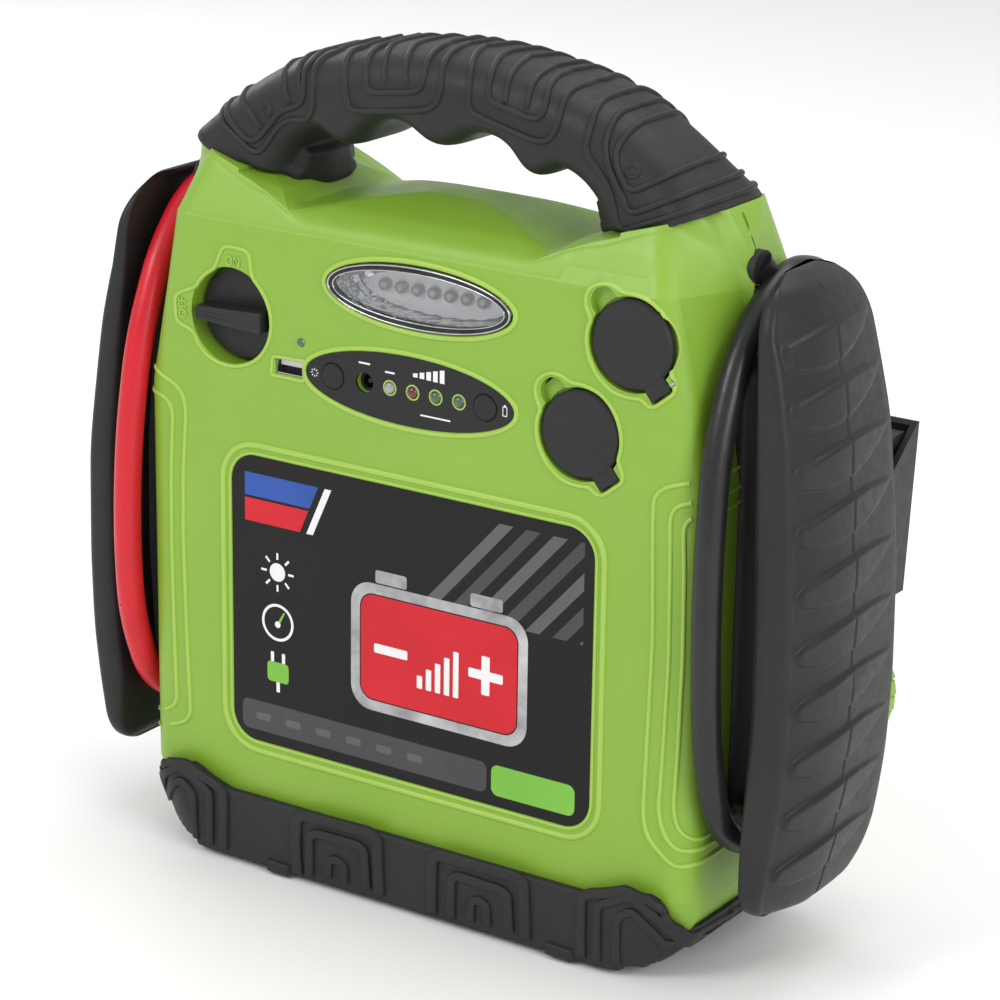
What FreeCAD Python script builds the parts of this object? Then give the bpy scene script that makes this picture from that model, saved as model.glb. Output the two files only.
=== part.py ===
import FreeCAD, Part
import Sketcher
import math
import os
import re

# Jump starter pack: a clamshell housing with an arched handle, a rubber base
# bumper, a cable guard on each side, a front control face and two parked clamps.
# Millimetres, +Z up, the front faces -Y, origin under the centre of the pack.
# Every y formula is counted from the seam plane between the two shells.

V = FreeCAD.Vector
doc = FreeCAD.newDocument("jump_starter_pack")
sheet = doc.addObject("Spreadsheet::Sheet", "sizes")

SIZES = (
    ("seam_y", -20.0),
    ("body_half", 122.0),
    ("front_depth", 37.0),
    ("rear_depth", 53.0),
    ("wall", 3.0),
    ("base_z", 6.0),
    ("side_top", 240.0),
    ("shoulder_x", 112.0),
    ("shoulder_z", 279.0),
    ("leg_x", 64.0),
    ("leg_z", 265.0),
    ("saddle_z", 268.0),
    ("cavity_top", 247.0),
    ("front_corner", 10.0),
    ("foot_corner", 32.0),
    ("rear_corner", 16.0),
    ("arch_top", 321.0),
    ("arch_front", 24.0),
    ("arch_rear", 27.0),
    ("core_half", 12.0),
    ("grip_skin", 3.5),
    ("hole_top", 287.0),
    ("bumper_skin", 5.0),
    ("bumper_side", 1.0),
    ("bumper_z", 2.5),
    ("bumper_top", 29.8),
    ("bumper_peak", 36.5),
    ("bumper_rib", 1.5),
    ("foot_x", 63.0),
    ("foot_long", 22.0),
    ("foot_wide", 12.0),
    ("guard_in", 138.0),
    ("guard_out", 164.0),
    ("guard_half", 36.0),
    ("guard_top", 261.0),
    ("guard_foot", 30.0),
    ("guard_wall", 2.5),
    ("post_half", 15.0),
    ("post_top", 226.0),
    ("post_foot", 60.0),
    ("cable_d", 10.5),
    ("label_w", 160.0),
    ("label_tall", 113.4),
    ("label_z", 108.0),
    ("label_thick", 0.8),
    ("label_round", 11.0),
    ("lamp_x", 4.3),
    ("lamp_z", 236.6),
    ("lamp_a", 39.9),
    ("lamp_b", 11.6),
    ("lamp_deep", 15.0),
    ("led_pitch", 7.1),
    ("led_r", 2.5),
    ("panel_z", 201.7),
    ("panel_a", 45.4),
    ("panel_b", 12.9),
    ("panel_thick", 1.0),
    ("button_x", 33.2),
    ("button_r", 4.8),
    ("button_travel", 1.0),
    ("button_gap", 0.3),
    ("jack_x", -19.1),
    ("jack_r", 2.75),
    ("light_x", -7.9),
    ("light_pitch", 10.0),
    ("power_x", -47.5),
    ("power_z", 212.0),
    ("power_r", 1.5),
    ("usb_x", -52.6),
    ("usb_z", 201.4),
    ("usb_w", 13.1),
    ("usb_tall", 5.7),
    ("board_y", -24.0),
    ("board_thick", 1.6),
    ("knob_x", -79.6),
    ("knob_z", 216.5),
    ("knob_r", 16.8),
    ("well_r", 18.6),
    ("well_deep", 12.0),
    ("shaft_r", 4.0),
    ("socket_r", 14.2),
    ("socket_bore", 10.5),
    ("socket_long", 40.0),
    ("cap_r", 16.0),
    ("cap_thick", 3.0),
    ("cap_recess", 4.0),
    ("cap_gap", 0.3),
    ("tab_wide", 9.0),
    ("tab_pin", 18.6),
    ("pin_r", 1.0),
    ("battery_w", 181.0),
    ("battery_d", 77.0),
    ("battery_tall", 167.0),
    ("gear_module", 0.8),
    ("crank_r", 6.0),
    ("rod_long", 40.0),
    ("drive_x", -43.6),
    ("drive_z", 208.0),
    ("motor_r", 14.0),
    ("piston_r", 13.0),
    ("piston_gap", 0.05),
    ("gauge_z", 150.0),
    ("gauge_r", 24.0),
    ("rocker_x", 48.0),
    ("outlet_x", -48.0),
    ("clamp_x", 118.0),
    ("clamp_y", 70.0),
    ("pivot_z", 128.0),
    ("spigot_drop", 39.0),
    ("spigot_r", 11.0),
    ("disc_x", 124.0),
    ("disc_r", 26.0),
    ("disc_thick", 9.5),
    ("handle_up", 56.0),
    ("sleeve_half", 25.0),
    ("sleeve_back", 83.5),
    ("sleeve_foot", 121.0),
    ("sleeve_top", 187.0),
    ("sleeve_wall", 2.5),
)
for row, (alias, number) in enumerate(SIZES, start=1):
    sheet.set("A%d" % row, alias)
    sheet.set("B%d" % row, str(number))
    sheet.setAlias("B%d" % row, alias)
doc.recompute()
v = {alias: number for alias, number in SIZES}

WORD = re.compile(r"\b([a-z_][a-z_0-9]*)\b(?!\s*\()")
SUBPARTS = {}


def linked(formula):
    """A formula in the sheet's names, written so that any object can use it."""
    return WORD.sub(r"sizes.\1", str(formula))


def number(formula):
    """The present value of a formula."""
    if isinstance(formula, str):
        return float(sheet.evalExpression(formula))
    return float(formula)


def bind(thing, prop, formula):
    thing.setExpression(prop, linked(formula))


def seat(thing, x, y, z):
    """Put a piece at x, y, z, with y counted from the seam plane."""
    bind(thing, "Placement.Base.x", x)
    bind(thing, "Placement.Base.y", "(%s) + seam_y" % y)
    bind(thing, "Placement.Base.z", z)
    return thing


def box(x, y, z, dx, dy, dz):
    thing = doc.addObject("Part::Box", "box")
    bind(thing, "Length", dx)
    bind(thing, "Width", dy)
    bind(thing, "Height", dz)
    return seat(thing, x, y, z)


TURNS = {
    "x": FreeCAD.Rotation(V(0, 1, 0), 90),
    "y": FreeCAD.Rotation(V(1, 0, 0), -90),
    "z": FreeCAD.Rotation(),
}


def rod(axis, x, y, z, r, length):
    """A cylinder that starts at x, y, z and runs along +axis."""
    thing = doc.addObject("Part::Cylinder", "rod")
    bind(thing, "Radius", r)
    bind(thing, "Height", length)
    thing.Placement = FreeCAD.Placement(V(), TURNS[axis])
    return seat(thing, x, y, z)


PLANES = {
    "xz": (FreeCAD.Rotation(V(1, 0, 0), 90), V(0, 1, 0)),
    "yz": (FreeCAD.Rotation(V(1, 1, 1), 120), V(1, 0, 0)),
    "xy": (FreeCAD.Rotation(), V(0, 0, 1)),
}


def outline(points):
    """A closed sketch. Each item is (a, b), or (mid a, mid b, a, b) for an arc."""
    sketch = doc.addObject("Sketcher::SketchObject", "outline")
    ends = [V(number(p[-2]), number(p[-1]), 0) for p in points]
    count = len(points)
    for i, point in enumerate(points):
        start = ends[i - 1]
        if len(point) == 4:
            middle = V(number(point[0]), number(point[1]), 0)
            sketch.addGeometry(Part.Arc(start, middle, ends[i]), False)
        else:
            sketch.addGeometry(Part.LineSegment(start, ends[i]), False)
    if any(len(point) == 4 for point in points) or not any(isinstance(f, str) for p in points for f in p):
        return sketch
    rules = [Sketcher.Constraint("Coincident", i, 2, (i + 1) % count, 1) for i in range(count)]
    for i in range(count):
        rules.append(Sketcher.Constraint("DistanceX", -1, 1, i, 2, ends[i].x))
        rules.append(Sketcher.Constraint("DistanceY", -1, 1, i, 2, ends[i].y))
    sketch.addConstraint(rules)
    for i, point in enumerate(points):
        for k in range(2):
            if isinstance(point[k], str):
                bind(sketch, "Constraints[%d]" % (count + 2 * i + k), point[k])
    return sketch


def prism(plane, start, length, points):
    """A closed outline pushed out along the plane's normal, from start."""
    sketch = points if hasattr(points, "Geometry") else outline(points)
    turn, way = PLANES[plane]
    sketch.Placement = FreeCAD.Placement(V(), turn)
    if plane == "xz":
        seat(sketch, 0, start, 0)
    elif plane == "yz":
        seat(sketch, start, 0, 0)
    else:
        seat(sketch, 0, 0, start)
    thing = doc.addObject("Part::Extrusion", "prism")
    thing.Base = sketch
    thing.DirMode = "Custom"
    thing.Dir = way
    thing.Solid = True
    bind(thing, "LengthFwd", length)
    return thing


def loft(plane, sections):
    """A solid through closed outlines of one pattern, each at its own place."""
    turn, _ = PLANES[plane]
    sketches = []
    for start, points in sections:
        sketch = outline(points)
        sketch.Placement = FreeCAD.Placement(V(), turn)
        if plane == "xz":
            seat(sketch, 0, start, 0)
        elif plane == "yz":
            seat(sketch, start, 0, 0)
        else:
            seat(sketch, 0, 0, start)
        sketches.append(sketch)
    thing = doc.addObject("Part::Loft", "loft")
    thing.Sections = sketches
    thing.Solid = True
    thing.Ruled = True
    return thing


def turned(x, z, profile):
    """A solid of revolution about the line along Y through x, z. profile: (r, y)."""
    sketch = outline(profile)
    seat(sketch, x, 0, z)
    thing = doc.addObject("Part::Revolution", "turned")
    thing.Source = sketch
    thing.Axis = V(0, 1, 0)
    bind(thing, "Base.x", x)
    bind(thing, "Base.z", z)
    thing.Angle = 360
    thing.Solid = True
    return thing


def fuse(*things):
    if len(things) == 1:
        return things[0]
    thing = doc.addObject("Part::MultiFuse", "fused")
    thing.Shapes = list(things)
    return thing


def common(*things):
    thing = doc.addObject("Part::MultiCommon", "common")
    thing.Shapes = list(things)
    return thing


def cut(base, *tools):
    thing = doc.addObject("Part::Cut", "cut")
    thing.Base = base
    thing.Tool = fuse(*tools)
    return thing


def group(*things):
    thing = doc.addObject("Part::Compound", "group")
    thing.Links = list(things)
    return thing


def mirror(source):
    thing = doc.addObject("Part::Mirroring", "mirrored")
    thing.Source = source
    thing.Normal = V(1, 0, 0)
    thing.Base = V(0, 0, 0)
    return thing


def node(name, thing):
    thing.Label = name
    SUBPARTS[name] = thing
    return thing


def ellipse(cx, cz, a, b):
    """An elliptical sketch: its long axis lies along X."""
    sketch = doc.addObject("Sketcher::SketchObject", "ellipse")
    centre = V(number(cx), number(cz), 0)
    sketch.addGeometry(Part.Ellipse(centre, number(a), number(b)), False)
    return sketch


def rounded(cx, cz, w, tall, r):
    """A rectangle with round corners, as a sketch."""
    x, z, hw, ht, r = number(cx), number(cz), number(w) / 2, number(tall) / 2, number(r)
    k = r * (1 - math.sqrt(0.5))
    return outline([
        (x + hw - r, z - ht),
        (x + hw - k, z - ht + k, x + hw, z - ht + r),
        (x + hw, z + ht - r),
        (x + hw - k, z + ht - k, x + hw - r, z + ht),
        (x - hw + r, z + ht),
        (x - hw + k, z + ht - k, x - hw, z + ht - r),
        (x - hw, z - ht + r),
        (x - hw + k, z - ht + k, x - hw + r, z - ht),
    ])


# Housing envelope

def body_front_view():
    """The housing's outline seen from the front, up to the grip's legs."""
    half = [
        ("body_half - 26", "base_z"),
        ("body_half - 9", "base_z + 7", "body_half", "base_z + 24"),
        ("body_half", "shoulder_z - 28"),
        ("body_half - 2.5", "shoulder_z - 15"),
        ("shoulder_x", "shoulder_z"),
        ("leg_x", "leg_z"),
        ("leg_x - 9", "saddle_z - 9"),
        ("leg_x - 30", "saddle_z - 4"),
        ("8", "saddle_z"),
    ]
    left = [("-(%s)" % p[-2], p[-1]) for p in half[::-1]]
    left[-1] = ("-body_half + 9", "base_z + 7") + left[-1]
    return half + left


def plan(front, rear, half, front_round, rear_round):
    """The housing's outline seen from above, with round corners, y from the seam."""
    f, b, w = number(front), number(rear), number(half)
    rf, rb = number(front_round), number(rear_round)
    kf, kb = rf * (1 - math.sqrt(0.5)), rb * (1 - math.sqrt(0.5))
    return [
        (w - rf, -f),
        (w - kf, -f + kf, w, -f + rf),
        (w, b - rb),
        (w - kb, b - kb, w - rb, b),
        (-w + rb, b),
        (-w + kb, b - kb, -w, b - rb),
        (-w, -f + rf),
        (-w + kf, -f + kf, -w + rf, -f),
    ]


DRAW_IN = ((0.4, 1), (0.7, 0.7), (1, 0.4), (1, 0), (1, 0.4), (0.7, 0.7), (0.4, 1))


def section(corners, inset):
    """The housing's outline seen from above. corners: seven points from front to rear."""
    p = [(x - inset * a, y - inset * b) for (x, y), (a, b) in zip(corners, DRAW_IN)]
    half = [
        (p[0][0], -p[0][1]),
        (p[1][0], -p[1][1], p[2][0], -p[2][1]),
        (p[3][0], -p[3][1]),
        p[4],
        p[5] + p[6],
    ]
    left = [
        (-p[6][0], p[6][1]),
        (-p[5][0], p[5][1], -p[4][0], p[4][1]),
        (-p[3][0], -p[3][1]),
        (-p[2][0], -p[2][1]),
        (-p[1][0], -p[1][1], -p[0][0], -p[0][1]),
    ]
    return half + left


def body_from_above(inset):
    """The housing's crown: upright walls that draw in towards the handle."""
    f, b, w = v["front_depth"], v["rear_depth"], v["body_half"]
    r, big = v["front_corner"], v["rear_corner"]
    k, kb = r * (1 - math.sqrt(0.5)), big * (1 - math.sqrt(0.5))
    low = section(((w - r, f), (w - k, f - k), (w, f - r), (w, 3),
                   (w, b - big), (w - kb, b - kb), (w - big, b)), inset)
    middle = section(((w - 23, f), (w - 17.5, f - 1.2), (w - 14, f - 5), (w - 1, 3),
                      (w - 3, b - 33), (w - 9, b - 19), (w - 30, b - 7)), inset)
    high = section(((w - 34, f - 15), (w - 28.5, f - 16.2), (w - 25, f - 19), (w - 5, 3),
                    (w - 13, b - 35), (w - 18, b - 28), (w - 30, b - 23)), inset)
    round_foot = v["foot_corner"]
    kf = round_foot * (1 - math.sqrt(0.5))
    foot = section(((w - round_foot, f), (w - kf, f - kf), (w, f - round_foot), (w, 3),
                    (w, b - round_foot), (w - kf, b - kf), (w - round_foot, b)), inset)
    side = v["side_top"]
    upright = fuse(loft("xy", [(0, foot), (v["bumper_top"] + 3, low)]),
                   loft("xy", [(v["bumper_top"] + 3, low), (side - 55, low)]))
    waist = loft("xy", [(side - 55, low), (side + 12, middle)])
    crown = loft("xy", [(side + 12, middle), (side + 44, high)])
    return fuse(upright, waist, crown)


def envelope(start, length):
    """The lower housing between two y planes, without the handle's arch."""
    ramp = [
        ("-front_depth - 5", "saddle_z - 14"),
        ("-front_depth", "saddle_z - 13.8"),
        ("-front_depth + 3", "saddle_z - 11"),
        ("-front_depth + 11", "saddle_z - 6.5"),
        ("-front_depth + 23", "saddle_z - 2.5"),
        ("-8", "saddle_z - 0.5"),
        ("0", "saddle_z"),
        ("8", "saddle_z - 0.5"),
        ("rear_depth - 37", "saddle_z - 3"),
        ("rear_depth - 20", "saddle_z - 11"),
        ("rear_depth + 5", "side_top"),
    ]
    lid = [("rear_depth + 5", "arch_top + 9"), ("-front_depth - 5", "arch_top + 9")]
    flat = [(y, "saddle_z + 1") for y, _ in ramp]
    saddle = loft("yz", [("-leg_x - 18", flat + lid), ("-leg_x + 14", ramp + lid),
                         ("leg_x - 14", ramp + lid), ("leg_x + 18", flat + lid)])
    return cut(common(prism("xz", start, length, body_front_view()), body_from_above(0)), saddle)


def cavity(start, length):
    """The hollow inside the housing between two y planes."""
    w = "body_half - wall"
    main = common(
        prism("xz", start, length, [
            ("-(%s) + 25" % w, "base_z + wall"),
            (w + " - 25", "base_z + wall"),
            (w, "base_z + 27"),
            (w, "side_top - 60"),
            (w + " - 12", "cavity_top"),
            ("-(%s) + 12" % w, "cavity_top"),
            ("-(%s)" % w, "side_top - 60"),
            ("-(%s)" % w, "base_z + 27"),
        ]),
        prism("yz", "-body_half", "2 * body_half", [
            ("-front_depth + wall", "0"),
            ("rear_depth - wall", "0"),
            ("rear_depth - wall", "side_top - 56"),
            ("rear_depth - wall - 8", "cavity_top"),
            ("-front_depth + wall", "cavity_top"),
        ]),
        body_from_above(v["wall"]),
    )
    return main


def arch(inset_out, inset_in, inset_leg, foot):
    """The arched handle seen from the front: outer curve, finger lobes below."""
    o, i, j = str(inset_out), str(inset_in), str(inset_leg)
    outer = [
        ("leg_x + " + j, foot),
        ("shoulder_x + 1 - " + o, foot),
        ("shoulder_x - 0.5 - " + o, "shoulder_z"),
        ("94.5 - " + o, "arch_top - 27.5 - " + o, "64", "arch_top - 10 - " + o),
        ("0", "arch_top - " + o, "-64", "arch_top - 10 - " + o),
        ("-94.5 + " + o, "arch_top - 27.5 - " + o, "-shoulder_x + 0.5 + " + o, "shoulder_z"),
        ("-shoulder_x - 1 + " + o, foot),
        ("-leg_x - " + j, foot),
        ("-leg_x - " + j, "hole_top - 19"),
    ]
    lobes = [
        ("-62.5 - " + i, "hole_top - 7 + " + i, "-55", "hole_top - 1.5 + " + i),
        ("-50", "hole_top - 1 + " + i, "-46.5", "hole_top - 3.5 + " + i),
        ("-40.5", "hole_top - 5 + " + i, "-34.5", "hole_top - 1 + " + i),
        ("-20", "hole_top + 7 + " + i, "-6.5", "hole_top + 1.5 + " + i),
        ("0", "hole_top + " + i, "6.5", "hole_top + 1.5 + " + i),
        ("20", "hole_top + 7 + " + i, "34.5", "hole_top - 1 + " + i),
        ("40.5", "hole_top - 5 + " + i, "46.5", "hole_top - 3.5 + " + i),
        ("50", "hole_top - 1 + " + i, "55", "hole_top - 1.5 + " + i),
        ("62.5 + " + i, "hole_top - 7 + " + i, "leg_x + " + j, "hole_top - 19"),
    ]
    return outer + lobes


def grip_line(start, length):
    """Everything above the slanted line where the grip's legs meet the housing."""
    return prism("xz", start, length, [
        ("leg_x", "leg_z"),
        ("shoulder_x + 9", "shoulder_z + (shoulder_z - leg_z) * 9 / (shoulder_x - leg_x)"),
        ("shoulder_x + 9", "arch_top + 5"),
        ("-shoulder_x - 9", "arch_top + 5"),
        ("-shoulder_x - 9", "shoulder_z + (shoulder_z - leg_z) * 9 / (shoulder_x - leg_x)"),
        ("-leg_x", "leg_z"),
        ("-leg_x + 8", "leg_z - 3"),
        ("leg_x - 8", "leg_z - 3"),
    ])


SCREWS = (
    ("body_half - 10", "side_top - 28"),
    ("body_half - 17", "side_top / 2"),
    ("body_half - 17", "bumper_peak + 6"),
)


def both(maker, places):
    """maker(x, z) at each place and at its mirror image."""
    return [maker(sign + "(" + x + ")", z) for x, z in places for sign in ("", "-")]


CABLE_ROUTE = (
    (119.5, 1.0, 259.0),
    (126.3, 11.5, 244.0),
    (129.0, 26.0, 221.0),
    (129.5, 36.0, 190.0),
    (130.0, 40.0, 150.0),
    (130.0, 39.0, 110.0),
    (130.0, 32.0, 76.0),
    (129.5, 15.0, 54.0),
    (129.0, -8.0, 49.0),
    (128.8, -28.0, 62.0),
    (128.7, -38.5, 90.0),
    (128.2, -41.0, 124.0),
    (127.2, -40.0, 162.0),
    (125.7, -34.5, 200.0),
    (125.2, -22.0, 230.0),
    (126.0, -6.0, 247.5),
    (126.4, 12.0, 256.0),
    (125.4, 34.0, 251.0),
    (119.0, 54.0, 237.0),
    (109.0, 66.5, 218.0),
    (102.0, 70.0, 201.0),
    (102.0, 70.0, 184.0),
)
CAPS = {"upper": ("92.6", "234.4"), "lower": ("72.8", "199.0")}
TAB_ANGLE = -52.0
NOTCH_ANGLE = 130.0


def tab_axis(x, z, r):
    """The point at radius r from a socket's centre, towards the cap's tab."""
    turn = math.radians(TAB_ANGLE)
    return "%s + (%s) * %.5f" % (x, r, math.cos(turn)), "%s + (%s) * %.5f" % (z, r, math.sin(turn))


def tab(x, z, start, length, r0, r1, wide):
    """A flat tongue that points from a socket's centre towards its hinge."""
    turn = math.radians(TAB_ANGLE)
    c, s = math.cos(turn), math.sin(turn)
    corners = []
    for r, side in ((r0, -0.5), (r1, -0.5), (r1, 0.5), (r0, 0.5)):
        across = "(%s) * %.2f" % (wide, side)
        corners.append(("%s + (%s) * %.5f - %s * %.5f" % (x, r, c, across, s),
                        "%s + (%s) * %.5f + %s * %.5f" % (z, r, s, across, c)))
    return prism("xz", start, length, corners)


def tangent_rod(x, z, y, r, length):
    """A pin across the tab, centred on it."""
    turn = math.radians(TAB_ANGLE)
    thing = doc.addObject("Part::Cylinder", "tangent_rod")
    bind(thing, "Radius", r)
    bind(thing, "Height", length)
    way = V(-math.sin(turn), 0, math.cos(turn))
    thing.Placement = FreeCAD.Placement(V(), FreeCAD.Rotation(V(0, 0, 1), way))
    px, pz = tab_axis(x, z, "tab_pin")
    return seat(thing, "%s - (%s) / 2 * %.5f" % (px, length, way.x), y, "%s - (%s) / 2 * %.5f" % (pz, length, way.z))


def front_bosses():
    """Raised seats inside the front shell, behind the face."""
    bosses = both(lambda x, z: rod("y", x, "-front_depth + wall - 0.5", z, 4.5, "front_depth - wall + 0.5"), SCREWS)
    for x, z in CAPS.values():
        bosses.append(rod("y", x, "-front_depth + 1", z, "cap_r + 6", "cap_recess + 2"))
    bosses.append(rod("y", "knob_x", "-front_depth + 1", "knob_z", "well_r + wall", "well_deep + wall - 1"))
    for x in ("usb_x - 3.5", "button_x + 8"):
        for z in ("panel_z - 8", "panel_z + 8"):
            bosses.append(rod("y", x, "-front_depth + wall - 0.5", z, 2.5, "front_depth - wall + 0.5 + board_y"))
    return bosses


def socket_recess(x, z):
    """The round recess of a cap, with its finger notch and its hinge tab's slot."""
    turn = math.radians(NOTCH_ANGLE)
    nx = "%s + cap_r * %.5f" % (x, 1.08 * math.cos(turn))
    nz = "%s + cap_r * %.5f" % (z, 1.08 * math.sin(turn))
    return [
        rod("y", x, "-front_depth - 1", z, "cap_r + 1", "cap_recess + 1"),
        rod("y", nx, "-front_depth - 1", nz, 5.5, "cap_recess"),
        tab(x, z, "-front_depth - 1", "cap_recess + 1", "cap_r - 3", "tab_pin + 2.8", "tab_wide + 0.8"),
        tangent_rod(x, z, "-front_depth + 1.4", "pin_r", "tab_wide + 5"),
    ]


def front_openings():
    """Everything that is cut through or into the front face."""
    face = "-front_depth - 1"
    tools = []
    for x, z in CAPS.values():
        tools += socket_recess(x, z)
    tools.append(rod("y", "knob_x", face, "knob_z", "well_r", "well_deep + 1"))
    tools.append(rod("y", "knob_x", face, "knob_z", "shaft_r + 0.3", "well_deep + wall + 2"))
    tools.append(prism("xz", face, "1 + panel_thick", ellipse(0, "panel_z", "panel_a + 0.1", "panel_b + 0.1")))
    tools.append(prism("xz", face, "3", ellipse("lamp_x", "lamp_z", "lamp_a + 0.2", "lamp_b + 0.2")))
    tools.append(prism("xz", face, "lamp_deep + 3.5", ellipse("lamp_x", "lamp_z", "lamp_a - 1.7", "lamp_b - 1.5")))
    tools.append(prism("xz", face, "1 + label_thick", rounded(0, "label_z", "label_w + 0.4", "label_tall + 0.4", "label_round")))
    for x in ("-button_x", "button_x"):
        tools.append(rod("y", x, face, "panel_z", "button_r + button_gap", "wall + 2"))
    tools.append(rod("y", "jack_x", face, "panel_z", 3.8, "wall + 2"))
    for i in range(4):
        tools.append(rod("y", "light_x + %d * light_pitch" % i, face, "panel_z", "led_r + 0.1", "wall + 2"))
    tools.append(rod("y", "power_x", face, "power_z", "power_r + 0.1", "wall + 2"))
    tools.append(box("usb_x - usb_w / 2 - 0.1", face, "usb_z - usb_tall / 2 - 0.1", "usb_w + 0.2", "wall + 2", "usb_tall + 0.2"))
    tools += both(lambda x, z: rod("y", x, "-18", z, 1.5, "20"), SCREWS)
    return tools


def core(start, length):
    """The handle's inner bar, which the two grips cover."""
    return prism("xz", start, length, arch("grip_skin", "1.2", "1.2", "leg_z - 8"))


def lead_exits():
    """The seats of the grommets and the slanted grooves that the leads run out in."""
    tools = []
    for side in (1, -1):
        points = [V(side * x, y + v["seam_y"], z) for x, y, z in CABLE_ROUTE[:2]]
        way = (points[1] - points[0]).normalize()
        seat_hole = Part.makeCylinder(6.9, 20, V(side * 107.4, points[0].y, points[0].z - 1.5), V(side, 0, 0))
        groove = Part.makeCylinder(v["cable_d"] / 2 + 0.5, 30, points[0], way)
        thing = doc.addObject("Part::Feature", "lead_exit")
        thing.Shape = seat_hole.fuse(groove)
        tools.append(thing)
    return tools


def barrel_holes():
    """Room for the power sockets' barrels, in both shells."""
    return [rod("y", x, "-front_depth", z, "socket_r + 0.1", "cap_recess + socket_long + 1") for x, z in CAPS.values()]


def front_shell():
    outer = fuse(envelope("-front_depth", "front_depth"), core("-core_half", "core_half"))
    hollow = cut(outer, cavity("-front_depth + wall", "front_depth - wall + 1"))
    inside = common(fuse(*front_bosses()), envelope("-front_depth", "front_depth"))
    tools = front_openings() + barrel_holes() + lead_exits()
    return node("front_shell", cut(fuse(hollow, inside), *tools))


def ribbed_disc():
    """The parking disc: a flange with stepped ribs round its rim."""
    count = 26
    x, z, r = v["disc_x"], v["pivot_z"] - v["spigot_drop"], v["disc_r"]
    points = []
    for i in range(count):
        for share, radius in ((0.0, r), (0.82, r - 0.4), (0.9, r - 1.2)):
            turn = 2 * math.pi * (i + share) / count
            points.append((x + radius * math.cos(turn), z + radius * math.sin(turn)))
    return prism("xz", "rear_depth - 0.5", "disc_thick + 0.5", points)


def parking_post():
    spigot = rod("y", "clamp_x", "rear_depth", "pivot_z - spigot_drop", "spigot_r", "clamp_y + 8 - rear_depth")
    return [ribbed_disc(), spigot]


STANDOFFS = (("drive_x - 45.4", "drive_z"), ("drive_x + 13", "drive_z - 11"), ("drive_x + 13", "drive_z + 11"))


def rear_shell():
    outer = fuse(envelope("0", "rear_depth"), core("0", "core_half"))
    hollow = cut(outer, cavity("-1", "rear_depth - wall + 1"))
    bosses = both(lambda x, z: rod("y", x, "0", z, 4.5, "rear_depth - wall + 0.5"), SCREWS)
    for x, z in STANDOFFS:
        bosses.append(rod("y", x, "17", z, 4, "rear_depth - wall - 16.5"))
    inside = common(fuse(*bosses), envelope("0", "rear_depth"))
    posts = parking_post()
    whole = fuse(hollow, inside, *(posts + [mirror(post) for post in posts]))
    tools = both(lambda x, z: rod("y", x, "-1", z, 1.6, "rear_depth + 2"), SCREWS)
    tools += both(lambda x, z: rod("y", x, "rear_depth - 2.2", z, 3.6, "4"), SCREWS)
    tools.append(rod("y", "0", "rear_depth - 1", "gauge_z", "gauge_r + 0.1", "3"))
    tools.append(box("rocker_x - 10", "rear_depth - 5", "gauge_z - 9.5", "20", "8", "19"))
    tools.append(rod("x", "rocker_x - 12", "rear_depth - 1.6", "gauge_z", 1.55, "24"))
    tools.append(rod("y", "outlet_x", "rear_depth - 5", "gauge_z", 6.1, "8"))
    tools += barrel_holes() + lead_exits()
    return node("rear_shell", cut(whole, *tools))


# Rubber parts

def grip(name, front):
    """One half of the handle's soft grip, wrapped over the inner bar."""
    thick = v["arch_front"] if front else v["arch_rear"]
    sign = -1 if front else 1
    foot = "leg_z - 6"
    if front:
        steps = ((0, 0, 0, 0), (14, 0, 0, 2.5), (6, 2.5, 0.8, 7), (2, 6, 3, 9.5), (0, 11, 6, 13))
    else:
        steps = ((0, 0, 0, 0), (14, 0, 0, 0.5), (6, 3, 0.8, 2), (2, 6, 3, 4), (0, 11, 6, 8))
    rows = []
    for back, o, i, j in steps:
        at = 0 if back == o == i == j == 0 else sign * (thick - back)
        rows.append((at, arch(o, i, j, foot)))
    slabs = [loft("xz", sorted(pair, key=lambda row: row[0])) for pair in zip(rows, rows[1:])]
    whole = common(fuse(*slabs), grip_line("-arch_front - 5", "arch_front + arch_rear + 10"))
    return node(name, cut(whole, core("-core_half", "2 * core_half")))


def bumper_front_view():
    half = [
        ("body_half - 28", "bumper_z"),
        ("body_half - 8.5", "bumper_z + 7.5", "body_half + bumper_side", "bumper_z + 25"),
        ("body_half + bumper_side", "bumper_top - 1"),
        ("body_half - 14", "bumper_peak - 1.5"),
        ("body_half - 24", "bumper_peak"),
        ("body_half - 33", "bumper_peak - 4"),
        ("body_half - 42", "bumper_top"),
    ]
    left = [("-(%s)" % p[-2], p[-1]) for p in half[::-1]]
    left[-1] = ("-body_half + 8.5", "bumper_z + 7.5") + left[-1]
    return half + left


def bumper(name, front):
    """One half of the base bumper: a boot round the housing's lower edge."""
    start = "-front_depth - bumper_skin" if front else "0"
    length = "front_depth + bumper_skin" if front else "rear_depth + bumper_skin"
    block = common(
        prism("xz", start, length, bumper_front_view()),
        loft("xy", [(level, plan("front_depth + bumper_skin", "rear_depth + bumper_skin",
                                 "body_half + bumper_side", *corners))
                    for level, corners in (("bumper_z", ("foot_corner + 5", "foot_corner + 5")),
                                           ("bumper_top + 3", ("front_corner + 5", "rear_corner + 3")),
                                           ("bumper_peak + 5", ("front_corner + 5", "rear_corner + 3")))]),
    )
    pieces = [block]
    rib_y = "-front_depth - bumper_skin - bumper_rib" if front else "rear_depth + bumper_skin - 0.5"
    for middle in (-42, 42):
        for half, top in ((26, 24), (15, 17)):
            low = "bumper_z + 1"
            for x in (middle - half, middle + half - 3):
                pieces.append(box(x, rib_y, low, 3, "bumper_rib + 0.5", "%s - bumper_z - 1" % top))
            pieces.append(box(middle - half, rib_y, "%s - 3" % top, 2 * half, "bumper_rib + 0.5", 3))
    return node(name, cut(fuse(*pieces), envelope("-front_depth", "front_depth + rear_depth")))


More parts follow.
